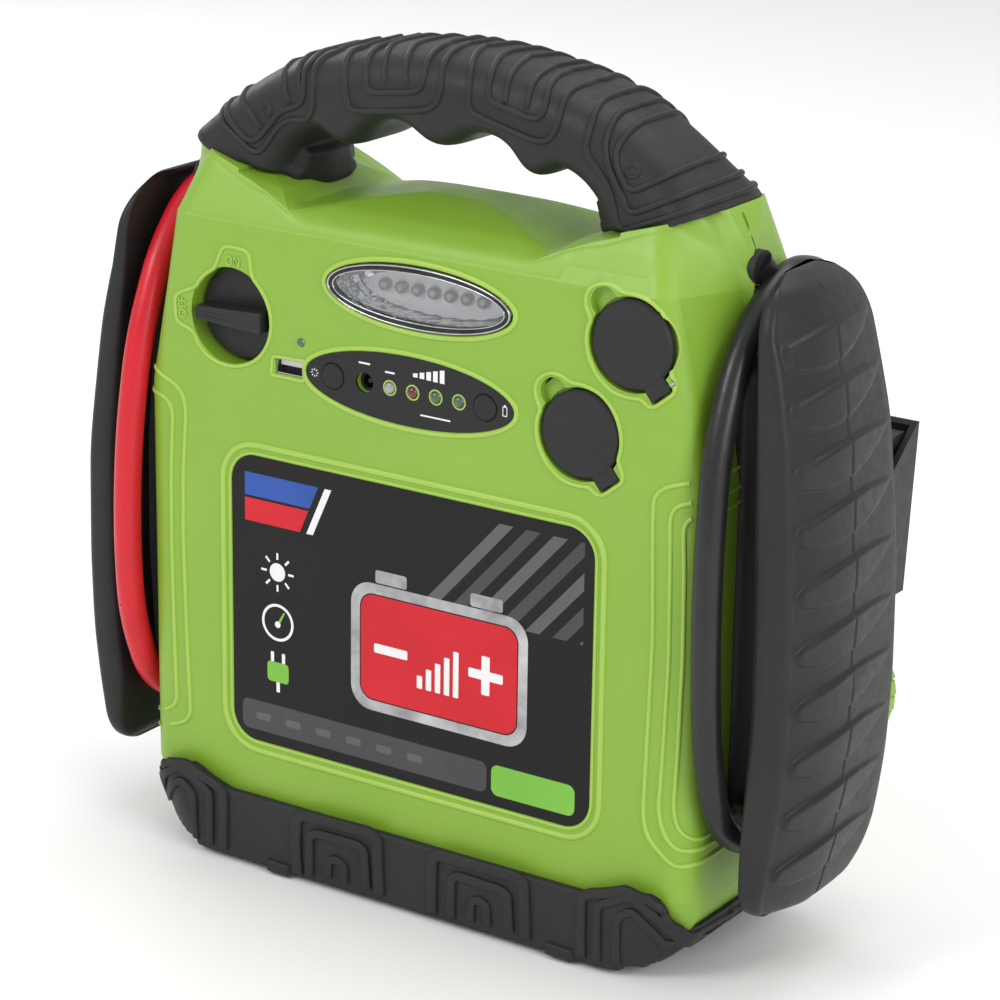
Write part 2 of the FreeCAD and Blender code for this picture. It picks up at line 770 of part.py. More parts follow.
def rubber_feet():
    feet = []
    for y in ("-front_depth + 2", "rear_depth - 2 - foot_wide"):
        for x in ("foot_x", "-foot_x"):
            feet.append(box(x + " - foot_long / 2", y, "0", "foot_long", "foot_wide", "bumper_z"))
    return node("rubber_feet", group(*feet))


# Cable guards

GUARD_BOW = (
    (-1, 3.0, -13.0),
    (3, 2.5, -10.0),
    (17, 2.0, -6.5),
    (50, 6.0, -1.5),
    (90, 8.0, 0.0),
    (135, 7.0, -2.0),
    (175, 3.0, -6.0),
    (202, -1.0, -11.5),
    (220, -3.5, -16.0),
    (232, -4.5, -21.0),
)


def guard_solid(inset, start, length):
    """A bowed paddle that stands beside the housing, between two y planes."""
    d = number(inset)
    half = v["guard_half"] - d
    sections = []
    for level, inner, outer in GUARD_BOW:
        inn, out = v["guard_in"] + inner + d, v["guard_out"] + outer - d
        r, lip, crown = 0.36 * (out - inn), 0.1 * (out - inn), 0.5 * (out - inn)
        k, kl = r * (1 - math.sqrt(0.5)), lip * (1 - math.sqrt(0.5))
        sections.append((v["guard_foot"] + level, [
            (out - crown - r, -half),
            (out - crown - k, -half + k, out - crown, -half + r),
            (out - 0.26 * crown, -half / 2, out, 0),
            (out - 0.06 * crown, half / 2, out - 0.24 * crown, half - r),
            (out - 0.24 * crown - k, half - k, out - 0.24 * crown - r, half),
            (inn + lip, half),
            (inn + kl, half - kl, inn, half - lip),
            (inn, -half + lip),
            (inn + kl, -half + kl, inn + lip, -half),
        ]))
    top, foot = v["guard_top"] - d, v["guard_foot"] + d
    r, big = 20 - d, 26 - d
    k, kb = r * (1 - math.sqrt(0.5)), big * (1 - math.sqrt(0.5))
    side = [
        (half - big, foot),
        (half - kb, foot + kb, half, foot + big),
        (half, top - big),
        (half - kb, top - kb, half - big, top),
        (-half + r, top),
        (-half + k, top - k, -half, top - r),
        (-half, foot + r),
        (-half + k, foot + k, -half + r, foot),
    ]
    slab = box("guard_in - 10", start, "0", "guard_out", length, "arch_top")
    return common(loft("xy", sections), prism("yz", "guard_in - 10", "guard_out", side), slab)


def winder_post(inset, start, length):
    """The post between the housing and the guard, which the cable goes round."""
    d = number(inset)
    r = v["post_half"] - d
    top, foot = v["post_top"] - v["post_half"], v["post_foot"] + v["post_half"]
    shape = prism("yz", "body_half", "guard_in - body_half + 9.5", [
        (r, top),
        (0, top + r, -r, top),
        (-r, foot),
        (0, foot - r, r, foot),
    ])
    return common(shape, box("body_half - 1", start, "0", "guard_out - body_half", length, "arch_top"))


def guard(side, which):
    front = which == "front"
    start, length = ("-guard_half", "guard_half") if front else ("0", "guard_half")
    paddle = guard_solid("0", start, length)
    inner_start = "-guard_half" if front else "-1"
    hollow = guard_solid("guard_wall", inner_start, "guard_half + 1")
    post = cut(winder_post("0", start, length), winder_post("guard_wall", inner_start, "guard_half + 1"))
    whole = fuse(cut(paddle, hollow), post)
    if side == "left":
        whole = mirror(whole)
    return node("%s_guard_%s" % (side, which), whole)


# Front face pieces

def label_plate():
    return node("label_plate", prism("xz", "-front_depth", "label_thick",
                                     rounded(0, "label_z", "label_w", "label_tall", "label_round")))


def lamp_lens():
    rim = prism("xz", "-front_depth - 0.8", "2.8", ellipse("lamp_x", "lamp_z", "lamp_a", "lamp_b"))
    inside = prism("xz", "-front_depth + 0.6", "2", ellipse("lamp_x", "lamp_z", "lamp_a - 3", "lamp_b - 3"))
    return node("lamp_lens", cut(rim, inside))


def lamp_reflector():
    cup = prism("xz", "-front_depth + 2", "lamp_deep - 1", ellipse("lamp_x", "lamp_z", "lamp_a - 1.9", "lamp_b - 1.7"))
    inside = prism("xz", "-front_depth + 1", "lamp_deep - 1.5", ellipse("lamp_x", "lamp_z", "lamp_a - 3.3", "lamp_b - 3.1"))
    return node("lamp_reflector", cut(cup, inside))


def lamp_board():
    return node("lamp_board", prism("xz", "-front_depth + lamp_deep - 4", "3.5",
                                    ellipse("lamp_x", "lamp_z", 29, 5.4)))


def dome(x, z, r, front, back):
    """A small light: a round-nosed rod with its nose towards the front."""
    r0, f, b = number(r), number(front), number(back)
    return turned(x, z, [
        (0, f),
        (r0 * math.sqrt(0.5), f + r0 * (1 - math.sqrt(0.5)), r0, f + r0),
        (r0, b),
        (0, b),
    ])


def lamp_leds():
    lights = []
    for i in range(7):
        x = "lamp_x + (%d) * led_pitch" % (i - 3)
        lights.append(dome(x, "lamp_z", "led_r", "-front_depth + lamp_deep - 8", "-front_depth + lamp_deep - 4"))
    return node("lamp_leds", group(*lights))


def control_panel():
    plate = prism("xz", "-front_depth", "panel_thick", ellipse(0, "panel_z", "panel_a", "panel_b"))
    holes = [rod("y", x, "-front_depth - 1", "panel_z", "button_r + button_gap", 4) for x in ("-button_x", "button_x")]
    holes.append(rod("y", "jack_x", "-front_depth - 1", "panel_z", 3.8, 4))
    for i in range(4):
        holes.append(rod("y", "light_x + %d * light_pitch" % i, "-front_depth - 1", "panel_z", "led_r + 0.1", 4))
    return node("control_panel", cut(plate, *holes))


def control_board():
    board = box("usb_x - 5", "board_y", "panel_z - 12", "button_x + 17 - usb_x", "board_thick", "24")
    switches = [box(x + " - 3", "board_y - 2.5", "panel_z - 3", 6, "3", 6) for x in ("-button_x", "button_x")]
    return node("control_board", fuse(board, *switches))


def push_button(name, x):
    """A round key with a collar behind the face and a stem towards its switch."""
    return node(name, turned(x, "panel_z", [
        ("0", "-front_depth - 0.6"),
        ("button_r - 0.4", "-front_depth - 0.6"),
        ("button_r", "-front_depth - 0.2"),
        ("button_r", "-front_depth + wall + 0.4"),
        ("button_r + 1.2", "-front_depth + wall + 0.4"),
        ("button_r + 1.2", "-front_depth + wall + 1.4"),
        ("2", "-front_depth + wall + 1.4"),
        ("2", "board_y - 2.6 - button_travel"),
        ("0", "board_y - 2.6 - button_travel"),
    ]))


def charging_socket():
    body = rod("y", "jack_x", "-front_depth + wall", "panel_z", 5, "front_depth - wall + board_y")
    bore = rod("y", "jack_x", "-front_depth", "panel_z", "jack_r", "front_depth + board_y - 1")
    pin = rod("y", "jack_x", "-front_depth + wall + 0.5", "panel_z", 0.95, "front_depth - wall + board_y - 0.5")
    return node("charging_socket", fuse(cut(body, bore), pin))


def small_light(x, z, r):
    """A panel light on its leads, standing on the board."""
    nose = dome(x, z, r, "-front_depth - 0.8", "-front_depth + 8")
    lead = box(x + " - 0.8", "-front_depth + 7.5", "%s - 0.4" % z, 1.6, "front_depth - 7.5 + board_y", 0.8)
    return fuse(nose, lead)


def indicator_lights():
    lights = [small_light("light_x + %d * light_pitch" % i, "panel_z", "led_r") for i in range(4)]
    lights.append(small_light("power_x", "power_z", "power_r"))
    return node("indicator_lights", group(*lights))


def usb_socket():
    shell = box("usb_x - usb_w / 2", "-front_depth + 0.6", "usb_z - usb_tall / 2",
                "usb_w", "front_depth - 0.6 + board_y", "usb_tall")
    inside = box("usb_x - usb_w / 2 + 0.4", "-front_depth", "usb_z - usb_tall / 2 + 0.4",
                 "usb_w - 0.8", "front_depth + board_y - 1.5", "usb_tall - 0.8")
    tongue = box("usb_x - 5.6", "-front_depth + 2", "usb_z + 0.2", 11.2, "front_depth + board_y - 3", 1.8)
    return node("usb_socket", fuse(cut(shell, inside), tongue))


def switch_knob():
    """A round knob with a finger bar, which turns from left to up."""
    floor = "-front_depth + well_deep"
    disc = rod("y", "knob_x", floor + " - 6", "knob_z", "knob_r", "5.7")
    bar = prism("xz", "-front_depth - 3", "well_deep - 2.8", [
        ("knob_x - knob_r", "knob_z - 2.6"),
        ("knob_x - 4", "knob_z - 4.2"),
        ("knob_x + knob_r - 1.6", "knob_z - 4.2"),
        ("knob_x + knob_r - 1.6", "knob_z + 4.2"),
        ("knob_x - 4", "knob_z + 4.2"),
        ("knob_x - knob_r", "knob_z + 2.6"),
    ])
    bounded = common(bar, rod("y", "knob_x", "-front_depth - 4", "knob_z", "knob_r", "well_deep + 4"))
    shaft = rod("y", "knob_x", floor + " - 1", "knob_z", "shaft_r", "1 + wall + 9")
    return node("switch_knob", fuse(disc, bounded, shaft))


def switch_body():
    start = "-front_depth + well_deep + wall"
    cup = rod("y", "knob_x", start, "knob_z", "well_r - 2", "24")
    inside = rod("y", "knob_x", start + " - 1", "knob_z", "well_r - 4", "23")
    lugs = [rod("y", "knob_x", start + " + 23.5", z, 3.5, "5") for z in ("knob_z - 8", "knob_z + 8")]
    return node("switch_body", fuse(cut(cup, inside), *lugs))


def switch_contact():
    start = "-front_depth + well_deep + wall + 4.5"
    disc = rod("y", "knob_x", start, "knob_z", "well_r - 7", "2.5")
    hole = rod("y", "knob_x", start + " - 1", "knob_z", "shaft_r", "4.5")
    return node("switch_contact", cut(disc, hole))


def power_socket(x, z):
    """A 12 V socket: flange, barrel, blind bore and centre contact."""
    floor = "-front_depth + cap_recess"
    return turned(x, z, [
        ("socket_bore", floor + " - 1"),
        ("socket_r + 1.6", floor + " - 1"),
        ("socket_r + 1.6", floor),
        ("socket_r", floor),
        ("socket_r", floor + " + socket_long"),
        ("0", floor + " + socket_long"),
        ("0", floor + " + socket_long - 6"),
        ("3", floor + " + socket_long - 6"),
        ("3", floor + " + socket_long - 3"),
        ("socket_bore", floor + " + socket_long - 3"),
    ])


def power_sockets():
    return node("power_sockets", group(*[power_socket(x, z) for x, z in CAPS.values()]))


def socket_cap(name, x, z):
    """A cap: lid, hollow plug and a hinge tab round a cross pin."""
    lid_back = "-front_depth + cap_recess - 1 - cap_gap"
    lid = turned(x, z, [
        ("0", lid_back + " - cap_thick"),
        ("cap_r - 1", lid_back + " - cap_thick"),
        ("cap_r", lid_back + " - cap_thick + 1"),
        ("cap_r", lid_back),
        ("socket_bore - cap_gap", lid_back),
        ("socket_bore - cap_gap", lid_back + " + 2"),
        ("socket_bore - cap_gap - 1.2", lid_back + " + 7"),
        ("socket_bore - cap_gap - 3", lid_back + " + 7"),
        ("socket_bore - cap_gap - 3", lid_back + " + 1"),
        ("0", lid_back + " + 1"),
    ])
    tongue = tab(x, z, lid_back + " - cap_thick + 0.2", "cap_thick - 0.4", "cap_r - 2", "tab_pin + 1.7", "tab_wide")
    hole = tangent_rod(x, z, "-front_depth + 1.4", "pin_r + 0.06", "tab_wide + 8")
    return node(name, cut(fuse(lid, tongue), hole))


def cap_pins():
    return node("cap_pins", group(*[tangent_rod(x, z, "-front_depth + 1.4", "pin_r", "tab_wide + 5")
                                    for x, z in CAPS.values()]))


# Inside

BATTERY_Y = "-front_depth + wall + 0.5"


def battery():
    case = box("-battery_w / 2", BATTERY_Y, "base_z + wall", "battery_w", "battery_d", "battery_tall")
    return node("battery", case)


def battery_terminals():
    top = "base_z + wall + battery_tall"
    return node("battery_terminals", group(*[rod("z", x, BATTERY_Y + " + 55", top, 5, 12)
                                             for x in ("75", "-75")]))


def main_fuse():
    top = "base_z + wall + battery_tall + 12"
    strip = box(48, BATTERY_Y + " + 49", top, 34, 12, 3)
    body = box(50, BATTERY_Y + " + 48", top, 16, 14, 8)
    return node("main_fuse", fuse(strip, body))


def buzzer():
    return node("buzzer", rod("y", 25, "board_y + board_thick", "panel_z", 7, 8))


def gear_points(x, z, teeth, phase):
    """A spur gear's outline with straight-sided teeth and some backlash."""
    m = v["gear_module"]
    pitch, tip, root = m * teeth / 2, m * (teeth / 2 + 0.9), m * (teeth / 2 - 1.2)
    points = []
    for i in range(teeth):
        for share, radius in ((-0.26, root), (-0.205, pitch), (-0.11, tip), (0.11, tip), (0.205, pitch), (0.26, root)):
            turn = 2 * math.pi * (i + share) / teeth + phase
            points.append((x + radius * math.cos(turn), z + radius * math.sin(turn)))
    return points


PINION_TEETH = 11
GEAR_TEETH = 55
GEAR_Y = "8.5"


def motor_x():
    return v["drive_x"] - v["gear_module"] * (PINION_TEETH + GEAR_TEETH) / 2


def compressor_motor():
    can = rod("y", motor_x(), "17", "drive_z", "motor_r", "27")
    hole = rod("y", motor_x(), "16", "drive_z", 1.7, "12")
    return node("compressor_motor", cut(can, hole))


def motor_pinion():
    teeth = prism("xz", GEAR_Y, "4", gear_points(motor_x(), v["drive_z"], PINION_TEETH, 0.0))
    shaft = rod("y", motor_x(), GEAR_Y, "drive_z", 1.62, "18")
    return node("motor_pinion", fuse(teeth, shaft))


def crank_gear():
    """The big gear with its crank pin on the front face, at the far side."""
    phase = math.pi + math.pi / GEAR_TEETH
    disc = prism("xz", GEAR_Y, "4", gear_points(v["drive_x"], v["drive_z"], GEAR_TEETH, phase))
    pin = rod("y", "drive_x - crank_r", "3.2", "drive_z", 2.25, "5.5")
    bore = rod("y", "drive_x", "7", "drive_z", 2.55, "7")
    return node("crank_gear", cut(fuse(disc, pin), bore))


def connecting_rod():
    big = rod("y", "drive_x - crank_r", "3.5", "drive_z", 4.6, 4)
    small = rod("y", "drive_x - crank_r + rod_long", "3.5", "drive_z", 3.5, 4)
    beam = box("drive_x - crank_r", "3.5", "drive_z - 2.4", "rod_long", 4, 4.8)
    hole = rod("y", "drive_x - crank_r", "2", "drive_z", 2.3, 8)
    return node("connecting_rod", cut(fuse(big, small, beam), hole))


SKIRT_X = "drive_x - crank_r + rod_long - 3.5"


def piston():
    """A hollow piston, open towards the rod, with two ring grooves' lands."""
    body = rod("x", SKIRT_X, "5.5", "drive_z", "piston_r", "23")
    inside = rod("x", SKIRT_X + " - 1", "5.5", "drive_z", "piston_r - 2.5", "2 * crank_r + 3.5 + 3.5 + 1.6")
    return node("piston", cut(body, inside))


def compressor_block():
    """Cylinder with its head and cooling fins, and the plate for motor and gear."""
    bore = "piston_r + piston_gap"
    barrel = rod("x", SKIRT_X + " - 1", "5.5", "drive_z", "piston_r + 2.5", "42")
    fins = [rod("x", SKIRT_X + " + %d" % (6 * i + 8), "5.5", "drive_z", "piston_r + 4.5", 2) for i in range(5)]
    hollow = rod("x", SKIRT_X + " - 2", "5.5", "drive_z", bore, "39")
    plate = box("drive_x - 50", "14", "drive_z - 16", "50 + rod_long - crank_r + 8", 3, 32)
    axle = rod("y", "drive_x", "8.6", "drive_z", 2.5, "6")
    shaft_hole = rod("y", motor_x(), "10", "drive_z", 3.5, "10")
    return node("compressor_block", fuse(cut(fuse(barrel, plate, *fins), hollow, shaft_hole), axle))


def air_fitting():
    """The compressor's outlet: a flanged nipple through the rear wall."""
    return node("air_fitting", turned("outlet_x", "gauge_z", [
        ("2", "rear_depth - 6"),
        ("6", "rear_depth - 6"),
        ("6", "rear_depth"),
        ("8.5", "rear_depth"),
        ("8.5", "rear_depth + 4"),
        ("4", "rear_depth + 4"),
        ("4", "rear_depth + 8"),
        ("4.8", "rear_depth + 9"),
        ("4", "rear_depth + 14"),
        ("2", "rear_depth + 14"),
    ]))


# Gauge and switch on the back

def gauge_housing():
    return node("gauge_housing", turned("0", "gauge_z", [
        ("1.2", "rear_depth - 1"),
        ("gauge_r", "rear_depth - 1"),
        ("gauge_r", "rear_depth + 11"),
        ("gauge_r - 3", "rear_depth + 11"),
        ("gauge_r - 3", "rear_depth + 2"),
        ("1.2", "rear_depth + 2"),
    ]))


def gauge_dial():
    plate = rod("y", "0", "rear_depth + 2", "gauge_z", "gauge_r - 3.1", 1)
    return node("gauge_dial", cut(plate, rod("y", "0", "rear_depth", "gauge_z", 0.85, 6)))


def gauge_needle():
    """A pointer with its hub and pin, at rest at the lower left of the dial."""
    angle = math.radians(-45.0)
    c, s = math.cos(angle), math.sin(angle)
    x0, z0 = 0.0, v["gauge_z"]
    corners = []
    for along, across in ((-5, -1.0), (16, -0.35), (16, 0.35), (-5, 1.0)):
        corners.append((x0 + along * c - across * s, z0 + along * s + across * c))
    blade = prism("xz", "rear_depth + 4.4", "0.8", corners)
    hub = rod("y", "0", "rear_depth + 4", "gauge_z", 2.2, 1.8)
    pin = rod("y", "0", "rear_depth + 0.5", "gauge_z", 0.8, 4)
    return node("gauge_needle", fuse(blade, hub, pin))


def gauge_glass():
    return node("gauge_glass", rod("y", "0", "rear_depth + 8", "gauge_z", "gauge_r - 3", 1.5))


ROCKER_TILT = 8.0


def air_switch():
    """A rocker on its own cross pins, pressed down at its lower end."""
    body = prism("yz", "rocker_x - 9.6", "19.2", [
        ("rear_depth - 7", "gauge_z - 5"),
        ("rear_depth + 1.4", "gauge_z - 7.6"),
        ("rear_depth + 2.6", "gauge_z - 7.6"),
        ("rear_depth + 1.4", "gauge_z"),
        ("rear_depth + 2.6", "gauge_z + 7.6"),
        ("rear_depth + 1.4", "gauge_z + 7.6"),
        ("rear_depth - 7", "gauge_z + 5"),
    ])
    pins = rod("x", "rocker_x - 11.5", "rear_depth - 1.6", "gauge_z", 1.5, "23")
    whole = fuse(body, pins)
    axis = V(0, v["rear_depth"] - 1.6 + v["seam_y"], v["gauge_z"])
    turn = FreeCAD.Rotation(V(1, 0, 0), ROCKER_TILT)
    whole.Placement = FreeCAD.Placement(axis - turn.multVec(axis), turn)
    return node("air_switch", whole)


# Clamps and what parks them

def sleeve():
    """An open-ended sleeve that holds one clamp's handles behind the guard."""
    x, h, w = "clamp_x", "sleeve_half", "sleeve_wall"
    outer = prism("xz", "rear_depth", "sleeve_back - rear_depth", [
        (x + " - " + h + " + 3", "sleeve_foot"),
        (x + " + " + h + " - 3", "sleeve_foot"),
        (x + " + " + h, "sleeve_top"),
        (x + " - " + h, "sleeve_top"),
    ])
    inner = prism("xz", "rear_depth + " + w, "sleeve_back - rear_depth - 2 * " + w, [
        (x + " - %s + 3 + %s" % (h, w), "sleeve_foot - 1"),
        (x + " + %s - 3 - %s" % (h, w), "sleeve_foot - 1"),
        (x + " + %s - %s" % (h, w), "sleeve_top + 1"),
        (x + " - %s + %s" % (h, w), "sleeve_top + 1"),
    ])
    slope = prism("yz", "clamp_x - sleeve_half - 1", "2 * sleeve_half + 2", [
        ("rear_depth - 1", "sleeve_foot - 2"),
        ("sleeve_back + 1", "sleeve_foot - 2"),
        ("sleeve_back + 1", "sleeve_top"),
        ("sleeve_back - 1", "sleeve_top"),
        ("rear_depth - 1", "sleeve_top - 27"),
    ])
    return cut(common(outer, slope), inner)


def clamp_sleeves():
    right = sleeve()
    return node("clamp_sleeves", group(right, mirror(sleeve())))


def at_pivot(points):
    """Points given from the clamp's pivot, as formulas in the pack's frame."""
    return [("clamp_x + (%s)" % a, "pivot_z + (%s)" % b) for a, b in points]


def across(points, wide_in, wide_out):
    """Two plates of one outline, either side of the clamp's middle plane."""
    return [
        prism("xz", "clamp_y - " + str(wide_out), "%s - %s" % (wide_out, wide_in), at_pivot(points)),
        prism("xz", "clamp_y + " + str(wide_in), "%s - %s" % (wide_out, wide_in), at_pivot(points)),
    ]


def jaw(side, inner, outer):
    """One metal jaw: its biting arm, cheeks and ears. side is -1 or 1."""
    def flip(points):
        return [(side * a, b) for a, b in points]
    arm = prism("xz", "clamp_y - 7", "14", at_pivot(flip(
        [(1.2, -9), (8, -9), (16.5, -24), (16.5, -46), (8, -58), (1.2, -58)])))
    cheeks = across(flip([(0, 5), (6, 2), (8, -10), (1.2, -10), (0, -5)]), inner, outer)
    ears = [rod("y", "clamp_x", "clamp_y - " + str(outer), "pivot_z", 5.5, "%s - %s" % (outer, inner)),
            rod("y", "clamp_x", "clamp_y + " + str(inner), "pivot_z", 5.5, "%s - %s" % (outer, inner))]
    pin = rod("y", "clamp_x", "clamp_y - 10", "pivot_z", 2.5, 20)
    grip_hole = rod("y", "clamp_x", "clamp_y - 12", "pivot_z - spigot_drop", "spigot_r + 0.3", 24)
    return cut(fuse(arm, *(cheeks + ears)), pin, grip_hole)


def lever(side, channel, half):
    """One insulated handle: a channel, open towards the other handle."""
    def flip(points):
        return [(side * a, b) for a, b in points]
    up = v["handle_up"]
    outer = prism("xz", "clamp_y - " + str(half), 2 * half, at_pivot(flip(
        [(2.6, -7), (10.5, -7), (12, 6), (22, up), (10.5, up), (3.4, 10)])))
    groove = prism("xz", "clamp_y - " + str(channel), 2 * channel, at_pivot(flip(
        [(-1, -8), (8, -8), (9.2, 6), (18.8, up - 12), (7, up - 12), (-1, 10)])))
    ears = rod("y", "clamp_x", "clamp_y - 12", "pivot_z", 6.0, 24)
    return cut(outer, groove, ears)


def fixed_jaws():
    return node("fixed_jaws", group(jaw(-1, 5.2, 7), mirror(jaw(-1, 5.2, 7))))


def moving_jaw(name, left):
    piece = jaw(1, 3.2, 5)
    return node(name, mirror(piece) if left else piece)


def clamp_base(name, left):
    piece = lever(-1, 7, 9.5)
    return node(name, mirror(piece) if left else piece)


def clamp_lever(name, left):
    piece = lever(1, 5, 8)
    return node(name, mirror(piece) if left else piece)


def clamp_pins():
    def pin():
        return rod("y", "clamp_x", "clamp_y - 7", "pivot_z", 2.45, "14")
    return node("clamp_pins", group(pin(), mirror(pin())))


def arc_path(points):
    """A wire of straight runs joined by tangent arcs. Prints its least radius."""
    share = 0.45
    edges = []
    radii = []
    at = points[0]
    for i in range(1, len(points) - 1):
        corner = points[i]
        back = (points[i - 1] - corner).normalize()
        ahead = (points[i + 1] - corner).normalize()
        run = min((points[i - 1] - corner).Length, (points[i + 1] - corner).Length)
        step = share * run
        half_turn = (math.pi - back.getAngle(ahead)) / 2
        radii.append(step / math.tan(half_turn))
        first = corner + back * step
        last = corner + ahead * step
        bisector = (back + ahead).normalize()
        reach = radii[-1] / math.cos(half_turn) - radii[-1]
        edges.append(Part.LineSegment(at, first).toShape())
        edges.append(Part.Arc(first, corner + bisector * reach, last).toShape())
        at = last
    edges.append(Part.LineSegment(at, points[-1]).toShape())
    return Part.Wire(edges), radii


def cable(name, side):
    """The jump lead: out of its grommet, once round the post, into its clamp."""
    seam = v["seam_y"]
    points = [V(side * x, y + seam, z) for x, y, z in CABLE_ROUTE]
    wire, radii = arc_path(points)
    r = v["cable_d"] / 2
    start = (points[1] - points[0]).normalize()
    ring = Part.Wire([Part.Circle(points[0], start, r).toShape()])
    tube = wire.makePipeShell([ring], True, False)
    ideal = math.pi * r * r * wire.Length
    print("%s length %.0f, least radius %.1f, volume ratio %.4f" % (name, wire.Length, min(radii), tube.Volume / ideal))
    thing = doc.addObject("Part::Feature", name)
    thing.Shape = tube
    return node(name, thing)


def cable_grommets():
    """Round plugs where the leads leave the housing's seam, bored at the lead's slant."""
    solids = []
    for side in (1, -1):
        points = [V(side * x, y + v["seam_y"], z) for x, y, z in CABLE_ROUTE[:2]]
        way = (points[1] - points[0]).normalize()
        plug = Part.makeCylinder(6.8, 14, V(side * 107.5, points[0].y, points[0].z - 1.5), V(side, 0, 0))
        hole = Part.makeCylinder(v["cable_d"] / 2, 30, points[0], way)
        solids.append(plug.cut(hole))
    thing = doc.addObject("Part::Feature", "cable_grommets")
    thing.Shape = Part.makeCompound(solids)
    return node("cable_grommets", thing)


def clamp_springs():
    """A torsion coil round each clamp's pin, between the inner ears."""
    wire_r, coil_r, turns, pitch = 0.55, 4.0, 3, 1.4
    solids = []
    for side in (1, -1):
        cx, cy, cz = side * v["clamp_x"], v["clamp_y"] + v["seam_y"] - pitch * turns / 2, v["pivot_z"]

        def at(turn):
            angle = 2 * math.pi * turn
            return V(cx + coil_r * math.cos(angle), cy + pitch * turn, cz + coil_r * math.sin(angle))
        edges = [Part.Arc(at(q / 4), at((q + 0.5) / 4), at((q + 1) / 4)).toShape() for q in range(4 * turns)]
        path = Part.Wire(edges)
        ring = Part.Wire([Part.Circle(at(0), edges[0].tangentAt(edges[0].FirstParameter), wire_r).toShape()])
        solids.append(path.makePipeShell([ring], True, False))
    thing = doc.addObject("Part::Feature", "clamp_springs")
    thing.Shape = Part.makeCompound(solids)
    return node("clamp_springs", thing)


def housing_screws():
    screws = []
    for x, z in SCREWS:
        for sign in ("", "-"):
            screws.append(turned(sign + "(" + x + ")", z, [
                ("0", "-16"),
                ("1.45", "-16"),
                ("1.45", "rear_depth - 2.2"),
                ("3.4", "rear_depth - 2.2"),
                ("3.4", "rear_depth - 0.2"),
                ("0", "rear_depth - 0.2"),
            ]))
    return node("housing_screws", group(*screws))


def build():
    front_shell()
    rear_shell()
    grip("front_grip", True)
    grip("rear_grip", False)
    bumper("front_bumper", True)
    bumper("rear_bumper", False)
    rubber_feet()
    for side in ("right", "left"):
        for which in ("front", "rear"):
            guard(side, which)
    housing_screws()
    label_plate()
    lamp_lens()
    lamp_reflector()
    lamp_board()
    lamp_leds()
    control_panel()
    control_board()
    push_button("lamp_button", "-button_x")
    push_button("test_button", "button_x")
    charging_socket()
    indicator_lights()
    usb_socket()
    switch_knob()
    switch_body()
    switch_contact()
    power_sockets()
    socket_cap("upper_cap", *CAPS["upper"])
    socket_cap("lower_cap", *CAPS["lower"])
    cap_pins()
    battery()
    battery_terminals()
    main_fuse()
    buzzer()
    compressor_motor()
    motor_pinion()
    crank_gear()
    connecting_rod()
    piston()
    compressor_block()
    air_fitting()
    gauge_housing()
    gauge_dial()
    gauge_needle()
    gauge_glass()
    air_switch()
    clamp_sleeves()
    clamp_base("black_clamp_base", False)
    clamp_lever("black_clamp_lever", False)
    clamp_base("red_clamp_base", True)
    clamp_lever("red_clamp_lever", True)
    fixed_jaws()
    moving_jaw("black_moving_jaw", False)
    moving_jaw("red_moving_jaw", True)
    clamp_pins()
    clamp_springs()
    cable_grommets()
    cable("black_cable", 1)
    cable("red_cable", -1)


build()
doc.recompute()

failed = [thing.Label for thing in doc.Objects if "Invalid" in thing.State or "Error" in thing.State]
for name, thing in SUBPARTS.items():
    shape = thing.Shape
    if shape.isNull() or not shape.isValid() or not shape.Solids:
        failed.append(name)
if failed:
    raise RuntimeError("not built: " + ", ".join(failed))

os.makedirs("parts", exist_ok=True)
for name, thing in SUBPARTS.items():
    thing.Shape.exportStep(os.path.join("parts", name + ".step"))
print("%d sub-parts written" % len(SUBPARTS))
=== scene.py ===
import math

import bmesh
import bpy
import numpy as np
from mathutils import Matrix, Vector
from mathutils.bvhtree import BVHTree


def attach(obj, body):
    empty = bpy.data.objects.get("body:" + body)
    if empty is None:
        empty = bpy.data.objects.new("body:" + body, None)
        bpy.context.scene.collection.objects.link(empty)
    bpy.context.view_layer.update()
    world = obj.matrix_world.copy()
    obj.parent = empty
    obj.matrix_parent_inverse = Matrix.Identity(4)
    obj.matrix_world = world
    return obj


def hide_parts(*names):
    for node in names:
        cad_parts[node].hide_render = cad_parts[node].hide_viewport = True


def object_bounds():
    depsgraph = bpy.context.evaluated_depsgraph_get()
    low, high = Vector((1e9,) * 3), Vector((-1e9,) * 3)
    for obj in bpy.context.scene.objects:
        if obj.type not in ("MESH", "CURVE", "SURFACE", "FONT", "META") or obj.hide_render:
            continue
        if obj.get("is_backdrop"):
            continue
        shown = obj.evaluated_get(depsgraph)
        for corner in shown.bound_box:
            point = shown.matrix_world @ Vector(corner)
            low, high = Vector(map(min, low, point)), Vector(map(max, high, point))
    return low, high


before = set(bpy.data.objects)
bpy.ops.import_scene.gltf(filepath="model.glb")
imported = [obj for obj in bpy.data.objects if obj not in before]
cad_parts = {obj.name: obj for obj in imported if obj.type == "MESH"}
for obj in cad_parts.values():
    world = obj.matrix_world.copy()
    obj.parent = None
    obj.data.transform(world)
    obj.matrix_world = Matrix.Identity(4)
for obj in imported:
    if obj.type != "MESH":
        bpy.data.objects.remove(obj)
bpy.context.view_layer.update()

MM = 0.001
SEAM = -20.0
FRONT = -57.0
LABEL_Z, PANEL_Z, GAUGE_Z = 108, 201.7, 150
LAMP_X, LAMP_Z = 4.3, 236.6
KNOB_X, KNOB_Z = -79.6, 216.5
scene = bpy.context.scene
scene.view_settings.view_transform = "Standard"

